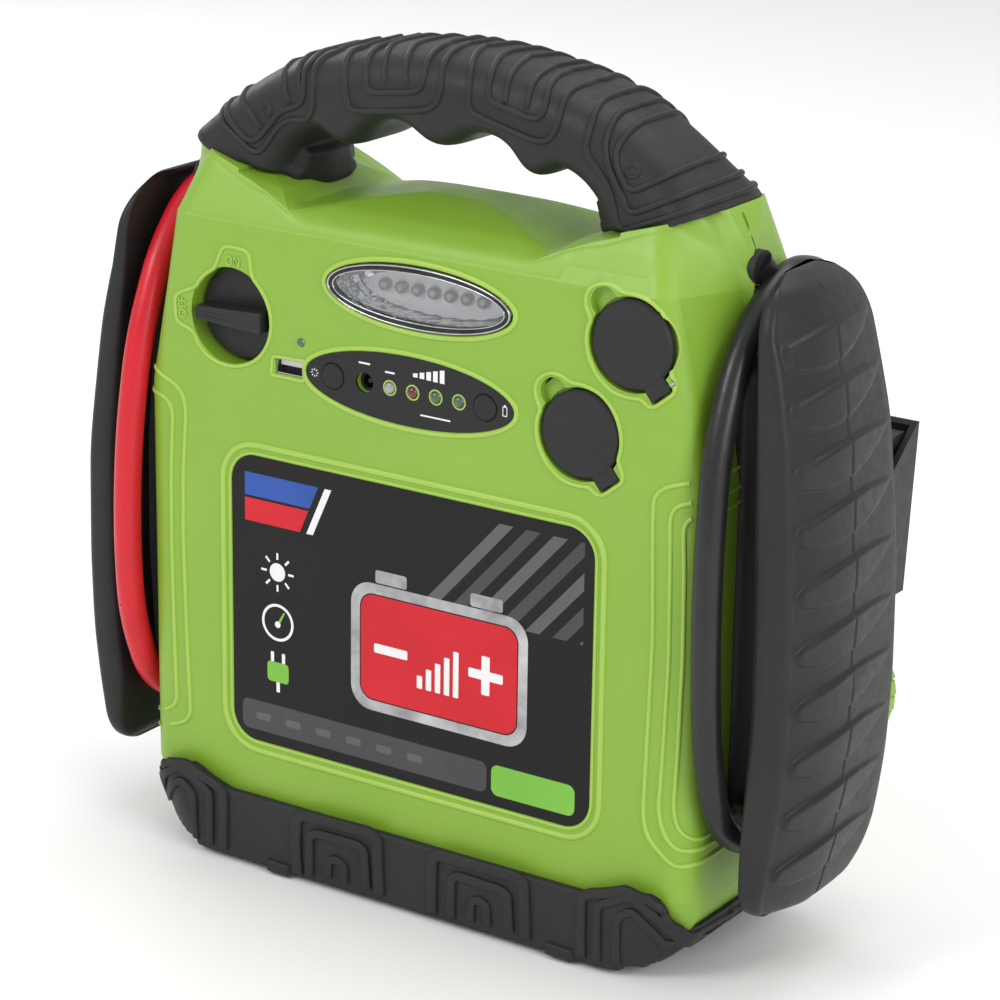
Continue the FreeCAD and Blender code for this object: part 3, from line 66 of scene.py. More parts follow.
# camera: the photograph's place and angle, in millimetres of the row frame
EYE = Vector((669.8, -1008.8, 546.2))
RIGHT = Vector((0.831, 0.556, 0.014)).normalized()
AHEAD = Vector((-0.524, 0.792, -0.314)).normalized()
RIGHT = (RIGHT - AHEAD * RIGHT.dot(AHEAD)).normalized()
DOWN = AHEAD.cross(RIGHT).normalized()
FOCAL = 3400.0

camera = bpy.data.objects.new("camera", bpy.data.cameras.new("camera"))
scene.collection.objects.link(camera)
turn = Matrix((RIGHT, -DOWN, -AHEAD)).transposed().to_4x4()
camera.matrix_world = Matrix.Translation(EYE * MM) @ turn
camera.data.sensor_width = 36.0
camera.data.lens = 36.0 * FOCAL / 1000.0
camera.data.clip_start, camera.data.clip_end = 0.05, 30.0
scene.camera = camera


# materials

def nodes_of(name):
    m = bpy.data.materials.new(name)
    m.use_nodes = True
    t = m.node_tree
    t.nodes.clear()
    return m, t, t.nodes.new("ShaderNodeOutputMaterial"), t.nodes.new("ShaderNodeTexCoord")


def noise(t, coords, scale, detail=3.0):
    n = t.nodes.new("ShaderNodeTexNoise")
    for key, value in (("Scale", scale), ("Detail", detail), ("Roughness", 0.55)):
        n.inputs[key].default_value = value
    t.links.new(coords.outputs["Object"], n.inputs["Vector"])
    return n.outputs["Fac"]


def spread(t, source, socket, low, high, a=0.0, b=1.0):
    """Leads a noise to a socket, with its values from a to b spread from low to high."""
    r = t.nodes.new("ShaderNodeMapRange")
    for key, value in (("From Min", a), ("From Max", b), ("To Min", low), ("To Max", high)):
        r.inputs[key].default_value = value
    t.links.new(source, r.inputs["Value"])
    t.links.new(r.outputs["Result"], socket)


def ramp(t, source, socket, *stops):
    """Leads a value to a socket as a colour, through stops of a place and a colour."""
    n = t.nodes.new("ShaderNodeValToRGB")
    line = n.color_ramp.elements
    for e, (place, colour) in zip(line, (stops[0], stops[-1])):
        e.position, e.color = place, (*colour, 1)
    for place, colour in stops[1:-1]:
        line.new(place).color = (*colour, 1)
    t.links.new(source, n.inputs["Fac"])
    t.links.new(n.outputs["Color"], socket)


def bump(t, source, strength, distance, under=None):
    n = t.nodes.new("ShaderNodeBump")
    n.inputs["Strength"].default_value = strength
    n.inputs["Distance"].default_value = distance
    t.links.new(source, n.inputs["Height"])
    if under:
        t.links.new(under.outputs["Normal"], n.inputs["Normal"])
    return n


def principled(t, out, values):
    s = t.nodes.new("ShaderNodeBsdfPrincipled")
    t.links.new(s.outputs[0], out.inputs["Surface"])
    for key, value in values.items():
        s.inputs[key].default_value = value
    return s


def moulded(name, colour, other, rough, grain=1800, depth=3, strength=0.35, patch=25, wave=60, swell=0,
            metallic=0, coat=0, coat_rough=0.1, specular=0.5, sss=0):
    """Plastic, rubber or metal: two close colours in soft patches, a fine grain and uneven gloss.

    The depth of the grain and of the slow swell are in hundredths of a millimetre.
    """
    m, t, out, co = nodes_of(name)
    s = principled(t, out, {"Metallic": metallic, "Coat Weight": coat, "Coat Roughness": coat_rough,
                            "Specular IOR Level": specular})
    ramp(t, noise(t, co, patch, 4.0), s.inputs["Base Color"], (0.3, other), (0.7, colour))
    spread(t, noise(t, co, patch * 9), s.inputs["Roughness"], *rough, 0.3, 0.7)
    last = bump(t, noise(t, co, grain, 2.0), strength, depth * 1e-5)
    if swell:
        last = bump(t, noise(t, co, wave, 1.0), 0.6, swell * 1e-5, last)
    t.links.new(last.outputs["Normal"], s.inputs["Normal"])
    if sss:
        s.inputs["Subsurface Weight"].default_value = sss
        s.inputs["Subsurface Scale"].default_value = 0.002
    return m


def clear(name, tint, rough=0.03, ior=1.49):
    """Clear moulded plastic that lets the light through to what lies behind it."""
    m, t, out, co = nodes_of(name)
    mix = t.nodes.new("ShaderNodeMixShader")
    see = t.nodes.new("ShaderNodeBsdfTransparent")
    see.inputs["Color"].default_value = (*tint, 1)
    shine = t.nodes.new("ShaderNodeBsdfGlossy")
    shine.inputs["Color"].default_value = (1, 1, 1, 1)
    fine = noise(t, co, 240.0, 2.0)
    spread(t, fine, shine.inputs["Roughness"], rough, rough * 2.2)
    relief = bump(t, fine, 0.2, 0.0002)
    edge = t.nodes.new("ShaderNodeFresnel")
    edge.inputs["IOR"].default_value = ior
    for s in (shine, edge):
        t.links.new(relief.outputs["Normal"], s.inputs["Normal"])
    for k, n in enumerate((edge, see, shine)):
        t.links.new(n.outputs[0], mix.inputs[k])
    t.links.new(mix.outputs[0], out.inputs["Surface"])
    return m


def faceted(name, colour):
    """Bright plating over small pillow-shaped facets."""
    m, t, out, co = nodes_of(name)
    s = principled(t, out, {"Metallic": 1.0})
    cells = t.nodes.new("ShaderNodeTexVoronoi")
    cells.inputs["Scale"].default_value = 210.0
    t.links.new(co.outputs["Object"], cells.inputs["Vector"])
    pillows = bump(t, cells.outputs["Distance"], 0.9, 0.0012)
    pillows.invert = True
    t.links.new(pillows.outputs["Normal"], s.inputs["Normal"])
    soft = noise(t, co, 90.0)
    ramp(t, soft, s.inputs["Base Color"], (0, [0.8 * c for c in colour]), (1, colour))
    spread(t, soft, s.inputs["Roughness"], 0.05, 0.16)
    return m


def led_painted_glints(name):
    """Clear LED resin painted by viewing angle: a painted bright heart, a dark body and a painted light edge
    in place of its reflections.
    """
    m, t, out, co = nodes_of(name)
    s = principled(t, out, {"Coat Weight": 0.9, "Coat Roughness": 0.03})
    # the base colour follows the viewing angle: painted highlight and painted shade for the clear resin
    turned = t.nodes.new("ShaderNodeLayerWeight")
    turned.inputs["Blend"].default_value = 0.5
    painted_glint_tones = [(place, (tone, tone, tone * 1.03)) for place, tone in
             ((0.12, 0.24), (0.35, 0.16), (0.55, 0.34), (0.70, 0.80), (0.85, 0.22))]
    ramp(t, turned.outputs["Facing"], s.inputs["Base Color"], (0, (0.40, 0.40, 0.41)), *painted_glint_tones,
         (1, (0.10, 0.10, 0.11)))
    spread(t, noise(t, co, 400.0, 2.0), s.inputs["Roughness"], 0.04, 0.12)
    return m


SHINY = {"metallic": 1}
# the LED finish carries painted highlights and shade set by viewing angle
M = {"clear_plastic": clear("clear_plastic", (0.93, 0.94, 0.95)),
     "chrome_plastic": faceted("chrome_plastic", (0.82, 0.82, 0.84)), "led": led_painted_glints("led")}
for name, colour, other, rough, grain, depth, strength, patch, more in (
    ("green_shell", (0.228, 0.408, 0.033), (0.212, 0.386, 0.029), (0.4, 0.5), 2200, 2, 0.3, 18,
     {"wave": 45, "swell": 40, "coat": 0.12, "coat_rough": 0.3, "sss": 0.06}),
    ("black_rubber", (0.022, 0.022, 0.023), (0.017, 0.017, 0.018), (0.46, 0.58), 1900, 4, 0.5, 30,
     {"wave": 80, "swell": 20, "specular": 0.3}),
    ("black_plastic", (0.019, 0.019, 0.02), (0.015, 0.015, 0.016), (0.38, 0.5), 2100, 3, 0.4, 26,
     {"wave": 70, "swell": 20, "specular": 0.32}),
    ("label", (0.009, 0.008, 0.009), (0.007, 0.006, 0.007), (0.34, 0.44), 2600, 1, 0.2, 14,
     {"specular": 0.22}),
    ("white_board", (0.88, 0.86, 0.86), (0.82, 0.8, 0.8), (0.4, 0.5), 1500, 3, 0.3, 60, {}),
    ("gloss_black", (0.013, 0.013, 0.014), (0.01, 0.01, 0.011), (0.24, 0.34), 2400, 1, 0.2, 22,
     {"specular": 0.3}),
    ("circuit_board", (0.02, 0.15, 0.05), (0.015, 0.11, 0.04), (0.35, 0.5), 900, 5, 0.5, 150, {}),
    ("socket_metal", (0.55, 0.54, 0.52), (0.48, 0.47, 0.45), (0.22, 0.34), 1200, 2, 0.3, 70, SHINY),
    ("battery_case", (0.06, 0.062, 0.066), (0.05, 0.052, 0.056), (0.5, 0.62), 1300, 5, 0.5, 30, {}),
    ("lead", (0.3, 0.3, 0.31), (0.24, 0.24, 0.25), (0.45, 0.6), 700, 6, 0.5, 90, SHINY),
    ("steel", (0.52, 0.52, 0.53), (0.44, 0.44, 0.45), (0.22, 0.36), 1400, 3, 0.4, 80, SHINY),
    ("gear_plastic", (0.7, 0.68, 0.62), (0.64, 0.62, 0.56), (0.4, 0.5), 1500, 3, 0.3, 60, {}),
    ("aluminium", (0.62, 0.62, 0.63), (0.55, 0.55, 0.56), (0.32, 0.48), 800, 6, 0.5, 60, SHINY),
    ("brass", (0.68, 0.5, 0.22), (0.6, 0.43, 0.18), (0.24, 0.36), 1200, 3, 0.4, 70, SHINY),
    ("dial", (0.8, 0.8, 0.78), (0.75, 0.75, 0.73), (0.4, 0.5), 1800, 2, 0.2, 20, {}),
    ("needle", (0.6, 0.03, 0.02), (0.52, 0.025, 0.018), (0.35, 0.45), 1800, 2, 0.2, 60, {}),
    ("copper", (0.66, 0.33, 0.18), (0.56, 0.27, 0.14), (0.26, 0.42), 900, 4, 0.5, 90, SHINY),
    ("red_plastic", (0.56, 0.012, 0.02), (0.5, 0.01, 0.017), (0.32, 0.42), 2000, 2, 0.3, 26, {"coat": 0.1}),
    ("black_lead", (0.016, 0.016, 0.017), (0.012, 0.012, 0.013), (0.26, 0.38), 1500, 3, 0.4, 60,
     {"wave": 120, "swell": 30, "specular": 0.4}),
    ("red_lead", (0.6, 0.01, 0.022), (0.53, 0.008, 0.018), (0.26, 0.38), 1500, 3, 0.4, 60,
     {"wave": 120, "swell": 30, "specular": 0.4}),
    # the shell's own green made lighter: a painted highlight for the light that catches raised rims, rings
    # and marks
    ("green_rim_highlight", (0.33, 0.52, 0.068), (0.306, 0.492, 0.058), (0.34, 0.44), 2200, 2, 0.3, 18,
     {"coat": 0.15, "coat_rough": 0.3}),
    # a bright and a dark copy of one metal: painted highlight and painted shade for the clear lens edge's
    # reflections
    ("lens_edge_glint", (0.62, 0.62, 0.63), (0.46, 0.46, 0.47), (0.08, 0.2), 900, 3, 0.3, 120, SHINY),
    ("lens_band_shade", (0.05, 0.05, 0.052), (0.03, 0.03, 0.032), (0.12, 0.25), 900, 3, 0.3, 120, SHINY),
    ("ink_silver", (0.52, 0.52, 0.53), (0.22, 0.22, 0.23), (0.25, 0.38), 2400, 1, 0.2, 80, {}),
    ("floor", (0.93, 0.93, 0.93), (0.92, 0.92, 0.92), (0.6, 0.7), 300, 2, 0.1, 2, {}),
):
    M[name] = moulded(name, colour, other, rough, grain, depth, strength, patch, **more)
TINT = {key: moulded("dome_" + key, colour, other, (0.08, 0.16), 1500, 2, 0.2, patch, coat=0.6,
                     coat_rough=0.05)
        for key, colour, other, patch in (
            ("teal", (0.03, 0.19, 0.11), (0.012, 0.06, 0.04), 900),
            ("clear", (0.34, 0.34, 0.33), (0.26, 0.26, 0.25), 500),
            ("red", (0.13, 0.01, 0.014), (0.075, 0.008, 0.01), 500),
            ("green", (0.06, 0.13, 0.06), (0.035, 0.07, 0.035), 500))}
INK = {key: moulded("ink_" + key, colour, other, rough, 2400, 1, 0.2, specular=0.25)
       for key, colour, other, rough in (
           ("white", (0.8, 0.8, 0.8), (0.74, 0.74, 0.74), (0.25, 0.35)),
           ("grey", (0.06, 0.061, 0.064), (0.05, 0.051, 0.054), (0.22, 0.32)),
           ("light", (0.105, 0.107, 0.11), (0.09, 0.092, 0.095), (0.22, 0.32)),
           ("green", (0.19, 0.48, 0.06), (0.17, 0.44, 0.052), (0.22, 0.32)),
           ("red", (0.62, 0.014, 0.024), (0.5, 0.01, 0.018), (0.2, 0.3)),
           ("blue", (0.03, 0.09, 0.38), (0.024, 0.075, 0.32), (0.2, 0.3)))}
INK["silver"] = M["ink_silver"]
# the lighter green of the rims is painted highlight on the same plastic as the shell
RIM_HIGHLIGHT = M["green_rim_highlight"]

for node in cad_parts.values():
    for s in node.material_slots:
        s.material = M[s.material.name.split(".")[0] if s.material else "black_plastic"]


# helpers for shapes, all in millimetres of the row frame

def piece(name, verts, faces, slot, material=None, body="housing", smooth=True, replaces=()):
    data = bpy.data.meshes.new(name)
    data.from_pydata([tuple(c * MM for c in p) for p in verts], [], faces)
    data.update()
    if smooth:
        data.polygons.foreach_set("use_smooth", [True] * len(data.polygons))
    data.materials.append(material or M[slot])
    o = bpy.data.objects.new(name, data)
    scene.collection.objects.link(o)
    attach(o, body)
    if replaces:
        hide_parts(*replaces)


class Heap:
    """Several small meshes of one finish, kept as one piece."""

    def __init__(self):
        self.verts, self.faces = [], []

    def add(self, verts, faces):
        base = len(self.verts)
        self.verts += [tuple(p) for p in verts]
        self.faces += [tuple(base + i for i in f) for f in faces]

    def done(self, name, slot, material=None, **more):
        piece(name, self.verts, self.faces, slot, material, **more)


def surface(*names):
    verts, faces = [], []
    for n in names:
        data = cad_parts[n].data
        base = len(verts)
        verts += [v.co / MM for v in data.vertices]
        faces += [[base + i for i in p.vertices] for p in data.polygons]
    return BVHTree.FromPolygons(verts, faces)


SHELL = surface("front_shell", "rear_shell")
CAD_GRIP = surface("front_grip", "rear_grip")
CAD_BUMPER = surface("front_bumper", "rear_bumper")


def blur(f, rows, cols, wrap):
    """Soft average over a grid, rows along the first axis and columns along the second."""
    for _ in range(rows):
        g = np.vstack([f[:1], f, f[-1:]])
        f = (g[:-2] + 2 * g[1:-1] + g[2:]) / 4
    for _ in range(cols):
        if wrap:
            f = (np.roll(f, 1, 1) + 2 * f + np.roll(f, -1, 1)) / 4
        else:
            g = np.hstack([f[:, :1], f, f[:, -1:]])
            f = (g[:, :-2] + 2 * g[:, 1:-1] + g[:, 2:]) / 4
    return f


def fill(field):
    """Empty places of a grid take the value of their nearest row that has one."""
    f = np.array(field, float)
    for j in range(f.shape[1]):
        good = np.where(~np.isnan(f[:, j]))[0]
        if len(good):
            for i in range(f.shape[0]):
                if np.isnan(f[i, j]):
                    f[i, j] = f[good[np.argmin(abs(good - i))], j]
    return f


def grid_faces(rows, cols, wrap=False, flip=False):
    faces = []
    for i in range(rows - 1):
        for j in range(cols if wrap else cols - 1):
            k = (j + 1) % cols
            f = (i * cols + j, i * cols + k, (i + 1) * cols + k, (i + 1) * cols + j)
            faces.append(f[::-1] if flip else f)
    return faces


# the soft grip's smooth form, round the line of the arch
INNER = [(64, 260.4), (63.5, 265.5), (62.5, 271), (61, 276.5), (57, 282), (50, 285.5), (42, 287), (30, 288),
         (15, 288), (0, 288)]
OUTER = [(112.6, 279.4), (109.2, 283.8), (104.6, 288.2), (98, 293), (88, 299.5), (76, 306), (62, 311.5),
         (42, 317.2), (20, 320.2), (0, 321)]
inner = [(-x, z) for x, z in INNER] + INNER[-2::-1]
outer = [(-x, z) for x, z in OUTER] + OUTER[-2::-1]
ROWS, COLS = 220, 120
at_row = np.linspace(0, len(inner) - 1, ROWS)
knots = np.arange(len(inner))
rail = np.array([[np.interp(at_row, knots, [q[a] for q in line]) for a in (0, 1)] for line in (inner, outer)])
for _ in range(30):
    rail[:, :, 1:-1] = (rail[:, :, :-2] + 2 * rail[:, :, 1:-1] + rail[:, :, 2:]) / 4
reach = np.full((ROWS, COLS), np.nan)
middle, spoke = [], []
TURNS = [2 * math.pi * j / COLS for j in range(COLS)]


def outward(i, t):
    return spoke[i] * math.cos(t) + Vector((0, -math.sin(t), 0))


for i in range(ROWS):
    a, b = Vector((rail[0, 0, i], SEAM, rail[0, 1, i])), Vector((rail[1, 0, i], SEAM, rail[1, 1, i]))
    middle.append((a + b) / 2)
    spoke.append((b - a).normalized())
    for j, t in enumerate(TURNS):
        d = outward(i, t)
        hit = CAD_GRIP.ray_cast(middle[i] + d * 70, -d, 69)[0]
        if hit is not None:
            reach[i, j] = (Vector(hit) - middle[i]).length
reach = blur(fill(reach), 7, 3, True) + 0.25
LEG_ROWS = 46
LEG_X = 60.3
for i in range(ROWS):
    end = min(i, ROWS - 1 - i)
    for j, t in enumerate(TURNS if end < LEG_ROWS else ()):
        towards = -spoke[i].x * math.cos(t) * (1 if middle[i].x > 0 else -1)
        if towards > 0.75:
            want = min((abs(middle[i].x) - LEG_X) / towards, reach[i, j] + 4.0)
            reach[i, j] = max(reach[i, j], want * min(1.0, (LEG_ROWS - end) / 12))
reach = blur(reach, 2, 2, True)
grip_points = [middle[i] + outward(i, t) * reach[i, j] for i in range(ROWS) for j, t in enumerate(TURNS)]
grip_faces = grid_faces(ROWS, COLS, wrap=True)
GRIP = BVHTree.FromPolygons(grip_points, grip_faces)
ends = [c + (q - c) * 0.8 for c, ring in ((middle[0], grip_points[:COLS]), (middle[-1], grip_points[-COLS:]))
        for q in ring]
base, last = ROWS * COLS, (ROWS - 1) * COLS
more = []
for j in range(COLS):
    k = (j + 1) % COLS
    more += [(base + j, base + k, k, j), (last + j, last + k, base + COLS + k, base + COLS + j)]
piece("soft_grip", grip_points + ends, grip_faces + more, "black_rubber",
      replaces=("front_grip", "rear_grip"))


# the base bumper's smooth form
def around(cx, cy, w, h, r, step):
    """Places on a rounded rectangle in plan, with their outward directions."""
    made = []
    runs = ((cx + w / 2, 1, 0, h), (cy + h / 2, 0, 1, w), (cx - w / 2, -1, 0, h), (cy - h / 2, 0, -1, w))
    for n, (limit, ox, oy, length) in enumerate(runs):
        half = length / 2 - r
        count = max(2, int(2 * half / step))
        for k in range(count + 1):
            t = -half + 2 * half * k / count
            if ox:
                made.append((limit, cy + t * ox, ox, 0))
            else:
                made.append((cx - t * oy, limit, 0, oy))
        corner_x = cx + (w / 2 - r) * (1 if n in (0, 3) else -1)
        corner_y = cy + (h / 2 - r) * (1 if n in (0, 1) else -1)
        turns = max(6, int(r * 1.6 / step * 2))
        for k in range(1, turns):
            a = math.radians(90 * n + 90 * k / turns)
            made.append((corner_x + r * math.cos(a), corner_y + r * math.sin(a), math.cos(a), math.sin(a)))
    return made


MID_Y = -12
FOOT = 2.5
loop = around(0, MID_Y, 262, 116, 44, 1.6)
LEVELS = 24


def flush(y):
    """A depth kept between the bumper's own front and rear faces."""
    return min(38.0, max(-62.0, y))


tops = []
for x, y, ox, oy in loop:
    hit = CAD_BUMPER.ray_cast(Vector((x, y, 20)), Vector((-ox, -oy, 0)), 60)[0]
    at = Vector(hit) if hit is not None else Vector((x - 12 * ox, y - 12 * oy, 20))
    above = Vector((at.x - 1.2 * ox, flush(at.y) - 1.2 * oy, 80))
    high = CAD_BUMPER.ray_cast(above, Vector((0, 0, -1)), 78)[0]
    tops.append(high.z if high is not None else 30.0)


def level(n, k):
    return FOOT + 0.15 + (tops[n] - FOOT - 0.3) * k / LEVELS


grid = np.full((LEVELS + 1, len(loop)), np.nan)
for k in range(LEVELS + 1):
    for n, (x, y, ox, oy) in enumerate(loop):
        hit = CAD_BUMPER.ray_cast(Vector((x, y, level(n, k))), Vector((-ox, -oy, 0)), 70)[0]
        if hit is not None and abs(hit.x * ox + (hit.y - MID_Y) * oy) > 24:
            grid[k, n] = math.hypot(x - hit.x, y - flush(hit.y))
far = blur(fill(grid), 1, 2, True) - 0.1
bumper_points = [Vector((x - ox * far[k, n], y - oy * far[k, n], level(n, k)))
                 for k in range(LEVELS + 1) for n, (x, y, ox, oy) in enumerate(loop)]
NB = len(loop)
bumper_faces = grid_faces(LEVELS + 1, NB, wrap=True)
BUMPER = BVHTree.FromPolygons(bumper_points, bumper_faces)
extra, base = [], len(bumper_points)
for k, depth in ((LEVELS, 3.5), (0, 30.0)):
    for n, (x, y, ox, oy) in enumerate(loop):
        q = bumper_points[k * NB + n]
        extra.append(Vector((q.x - ox * depth, q.y - oy * depth, q.z - 0.2 if k else FOOT)))
more = []
for n in range(NB):
    m = (n + 1) % NB
    more.append((LEVELS * NB + n, LEVELS * NB + m, base + m, base + n))
    more.append((m, n, base + NB + n, base + NB + m))
piece("base_bumper", bumper_points + extra, bumper_faces + more, "black_rubber",
      replaces=("front_bumper", "rear_bumper"))


# smooth shoulders and saddle over the housing's upper part
def crown(name, sign):
    xs = np.linspace(-121.6, 121.6, 154)
    angles = np.radians(np.linspace(8, 90, 60))
    r = np.full((len(xs), len(angles)), np.nan)
    for i, x in enumerate(xs):
        c = Vector((x, SEAM, 240))
        for j, t in enumerate(angles):
            d = Vector((0, sign * math.cos(t), math.sin(t)))
            start = 43.0 if abs(x) < 61 and t > math.radians(69) else 125.0
            hit = SHELL.ray_cast(c + d * start, -d, start)[0]
            if hit is not None:
                r[i, j] = (Vector(hit) - c).length
    r = fill(fill(r).T).T
    for i, x in enumerate(xs):
        if 58 < abs(x) < 116:
            level = 261.6 + (abs(x) - 64) * (0.39 if abs(x) > 64 else 0.28)
            c = Vector((x, SEAM, 240))
            for j, t in enumerate(angles):
                if t > 0.7:
                    d = Vector((0, sign * math.cos(t), math.sin(t)))
                    hit = CAD_GRIP.ray_cast(c + d * 125, -d, 124)[0]
                    if hit is not None and abs(x) > 66:
                        r[i, j] = max(r[i, j], (Vector(hit) - c).length)
                    r[i, j] = min(r[i, j], (level - 240) / math.sin(t))
    soft = blur(r, 3, 3, False)
    verts = []
    for i, x in enumerate(xs):
        border = 257.5 if 64 < x < 113 and sign < 0 else 251.5
        for j, t in enumerate(angles):
            z = 240 + soft[i, j] * math.sin(t)
            edge = z - border
            lift = 0.35 * min(1.0, edge / 7) if edge > 0 else max(-1.6, 0.3 * edge)
            lift = min(lift, (121.4 - abs(x)) * 0.4 - 0.2) if abs(x) > 120 else lift
            rr = soft[i, j] + lift
            verts.append((x, SEAM + sign * rr * math.cos(t), 240 + rr * math.sin(t)))
    faces = grid_faces(len(xs), len(angles), flip=sign > 0)
    piece(name, verts, faces, "green_shell")
    return [Vector(v) for v in verts], faces


crown_a, faces_a = crown("front_crown", -1)
crown_b, faces_b = crown("rear_crown", 1)
CROWN = BVHTree.FromPolygons(crown_a + crown_b, faces_a + [[len(crown_a) + i for i in f] for f in faces_b])


def ray(px, py):
    return (AHEAD + RIGHT * ((px - 500) / FOCAL) + DOWN * ((py - 500) / FOCAL)).normalized()


def seen(tree, points, left, top, scale):
    """Points of a zoomed view of the photograph, carried along the camera's rays onto a surface."""
    found = []
    for a, b in points:
        d = ray(left + a / scale, top + b / scale)
        hit = tree.ray_cast(EYE, d)[0]
        if hit is None:
            along = [tree.find_nearest(EYE + d * step) for step in range(1000, 1500, 4)]
            hit = min(along, key=lambda near: near[3])[0]
        found.append(Vector(hit))
    return found


def eased(points, r, closed=False):
    """The same line with its corners rounded off."""
    pts = [Vector(p) for p in points]
    n, made = len(pts), []
    for i, p in enumerate(pts):
        if not closed and i in (0, n - 1):
            made.append(p)
            continue
        a, b = pts[i - 1], pts[(i + 1) % n]
        la, lb = (a - p).length, (b - p).length
        if la < 1e-6 or lb < 1e-6:
            continue
        d = min(r, la / 2, lb / 2)
        s, e = p + (a - p) * (d / la), p + (b - p) * (d / lb)
        for k in range(7):
            t = k / 6
            made.append(s * (1 - t) ** 2 + p * (2 * t * (1 - t)) + e * t ** 2)
    return made


def even(points, step, closed=False):
    pts = [Vector(p) for p in points]
    if closed:
        pts.append(pts[0].copy())
    run = [0.0]
    for a, b in zip(pts, pts[1:]):
        run.append(run[-1] + (b - a).length)
    count = max(2, round(run[-1] / step))
    made, j = [], 0
    for k in range(count if closed else count + 1):
        want = run[-1] * k / count
        while j < len(run) - 2 and run[j + 1] < want:
            j += 1
        gap = run[j + 1] - run[j]
        t = 0 if gap < 1e-9 else (want - run[j]) / gap
        made.append(pts[j].lerp(pts[j + 1], min(1, max(0, t))))
    return made


ROUND = ((-0.5, None), (-0.42, 0.42), (-0.27, 0.86), (0.0, 1.0), (0.27, 0.86), (0.42, 0.42), (0.5, None))
FLAT = ((-0.5, None), (-0.47, 0.6), (-0.40, 0.95), (-0.3, 1.0), (0.0, 1.0), (0.3, 1.0), (0.40, 0.95),
        (0.47, 0.6), (0.5, None))


def bead(heap, path, tree, width, height, closed=False, profile=ROUND, step=1.0, sink=0.3, r=4.0, up=None,
         soft=2, taper=1.6):
    """A raised line laid on a surface."""
    line = even(eased(path, r, closed), step, closed)
    n = len(line)
    spots, normals = [], []
    for p in line:
        at, nor, _, _ = tree.find_nearest(p)
        spots.append(Vector(at))
        normals.append(Vector(up) if up else Vector(nor))
    for _ in range(soft):
        last = [v.copy() for v in normals]
        places = [v.copy() for v in spots]
        for i in range(n):
            if not closed and i in (0, n - 1):
                continue
            normals[i] = (last[i - 1] + last[i] * 2 + last[(i + 1) % n]).normalized()
            spots[i] = (places[i - 1] + places[i] * 2 + places[(i + 1) % n]) / 4
    rings = []
    for i in range(n):
        a = spots[i - 1] if closed or i else spots[i]
        b = spots[(i + 1) % n] if closed or i < n - 1 else spots[i]
        along, nor = (b - a).normalized(), normals[i]
        side = along.cross(nor).normalized()
        ends = min(i, n - 1 - i) * step
        fade = 1.0 if closed else min(1.0, ends / taper) ** 0.5
        ring = []
        for u, h in profile:
            q = spots[i] + side * (u * width)
            hit = tree.ray_cast(q + nor * 3.0, -nor, 6.0)[0]
            s = Vector(hit) if hit is not None else q
            lift = -sink if h is None else -sink + (h * height + sink) * fade
            ring.append(s + nor * lift)
        rings.append(ring)
    k = len(profile)
    verts = [p for ring in rings for p in ring]
    faces = []
    for i in range(n if closed else n - 1):
        j = (i + 1) % n
        for c in range(k - 1):
            faces.append((i * k + c, j * k + c, j * k + c + 1, i * k + c + 1))
    heap.add(verts, faces)


def mirrored(points, x=False, y=False):
    return [Vector((-p[0] if x else p[0], 2 * SEAM - p[1] if y else p[1], p[2])) for p in points]


def in_plane(points, y=FRONT):
    return [Vector((a, y, b)) for a, b in points]


def oval(cx, cz, a, b, n=96):
    turns = [2 * math.pi * i / n for i in range(n)]
    return [(cx + a * math.cos(t), cz + b * math.sin(t)) for t in turns]


def round_box(cx, cz, w, h, r, n=8):
    pts = []
    for sx, sz, a0 in ((1, 1, 0), (-1, 1, 90), (-1, -1, 180), (1, -1, 270)):
        for i in range(n + 1):
            a = math.radians(a0 + 90 * i / n)
            pts.append((cx + sx * (w / 2 - r) + r * math.cos(a), cz + sz * (h / 2 - r) + r * math.sin(a)))
    return pts


# soft grip: raised frames and ribs over the arch

def crest(p):
    """The place on the arch's crest in line with a point lower down on the grip."""
    near = GRIP.find_nearest(p)[2]
    return grip_points[(near // COLS) * COLS].copy()


def arch_view(points):
    flat_line = [Vector((a, b, 0)) for a, b in points]
    if len(points) > 1:
        flat_line = even(eased(flat_line, 26), 10)
    return seen(GRIP, [(q.x, q.y) for q in flat_line], 200, 20, 2.6576)


grip_ribs = Heap()
for frame_line in (
    ((370, 84), (330, 98), (306, 125), (300, 180), (299, 240), (285, 268), (235, 262), (200, 290), (180, 325),
     (160, 352), (140, 350), (100, 310), (66, 280)),
    ((300, 112), (280, 130), (276, 170), (274, 212), (262, 228), (215, 240), (190, 272), (165, 305),
     (140, 325), (118, 312), (74, 262)),
    ((440, 72), (400, 84), (387, 110), (386, 190), (396, 235), (420, 243), (600, 240), (628, 225), (640, 190),
     (646, 120), (668, 85), (712, 66)),
    ((510, 60), (462, 78), (446, 105), (441, 178), (452, 193), (570, 192), (590, 180), (604, 112), (622, 84),
     (655, 66)),
    ((772, 62), (738, 84), (723, 112), (715, 190), (712, 235), (728, 250), (885, 320), (925, 325), (950, 285),
     (964, 220), (988, 184), (1100, 150)),
    ((850, 70), (800, 95), (780, 125), (765, 192), (770, 217), (880, 262), (905, 262), (918, 235), (926, 180),
     (950, 148), (1030, 122)),
    ((1210, 180), (1110, 196), (1066, 215), (1046, 255), (1022, 345), (1042, 374), (1080, 430), (1100, 484),
     (1106, 541), (1118, 557), (1134, 556), (1296, 508), (1411, 468), (1488, 440)),
    ((1255, 213), (1130, 237), (1100, 262), (1076, 325), (1082, 380), (1108, 440), (1127, 474), (1132, 503),
     (1150, 514), (1262, 474), (1391, 425), (1470, 397)),
    ((1300, 244), (1182, 266), (1134, 300), (1104, 345), (1106, 388), (1128, 432), (1140, 453), (1158, 453),
     (1255, 409), (1336, 376), (1425, 345)),
):
    half = [q for q in arch_view(frame_line) if q.y < SEAM - 1.5]
    loop = [crest(half[0])] + half + [crest(half[-1])] + mirrored(half[::-1], y=True)
    bead(grip_ribs, loop, GRIP, 2.6, 1.25, closed=True, r=3.5)
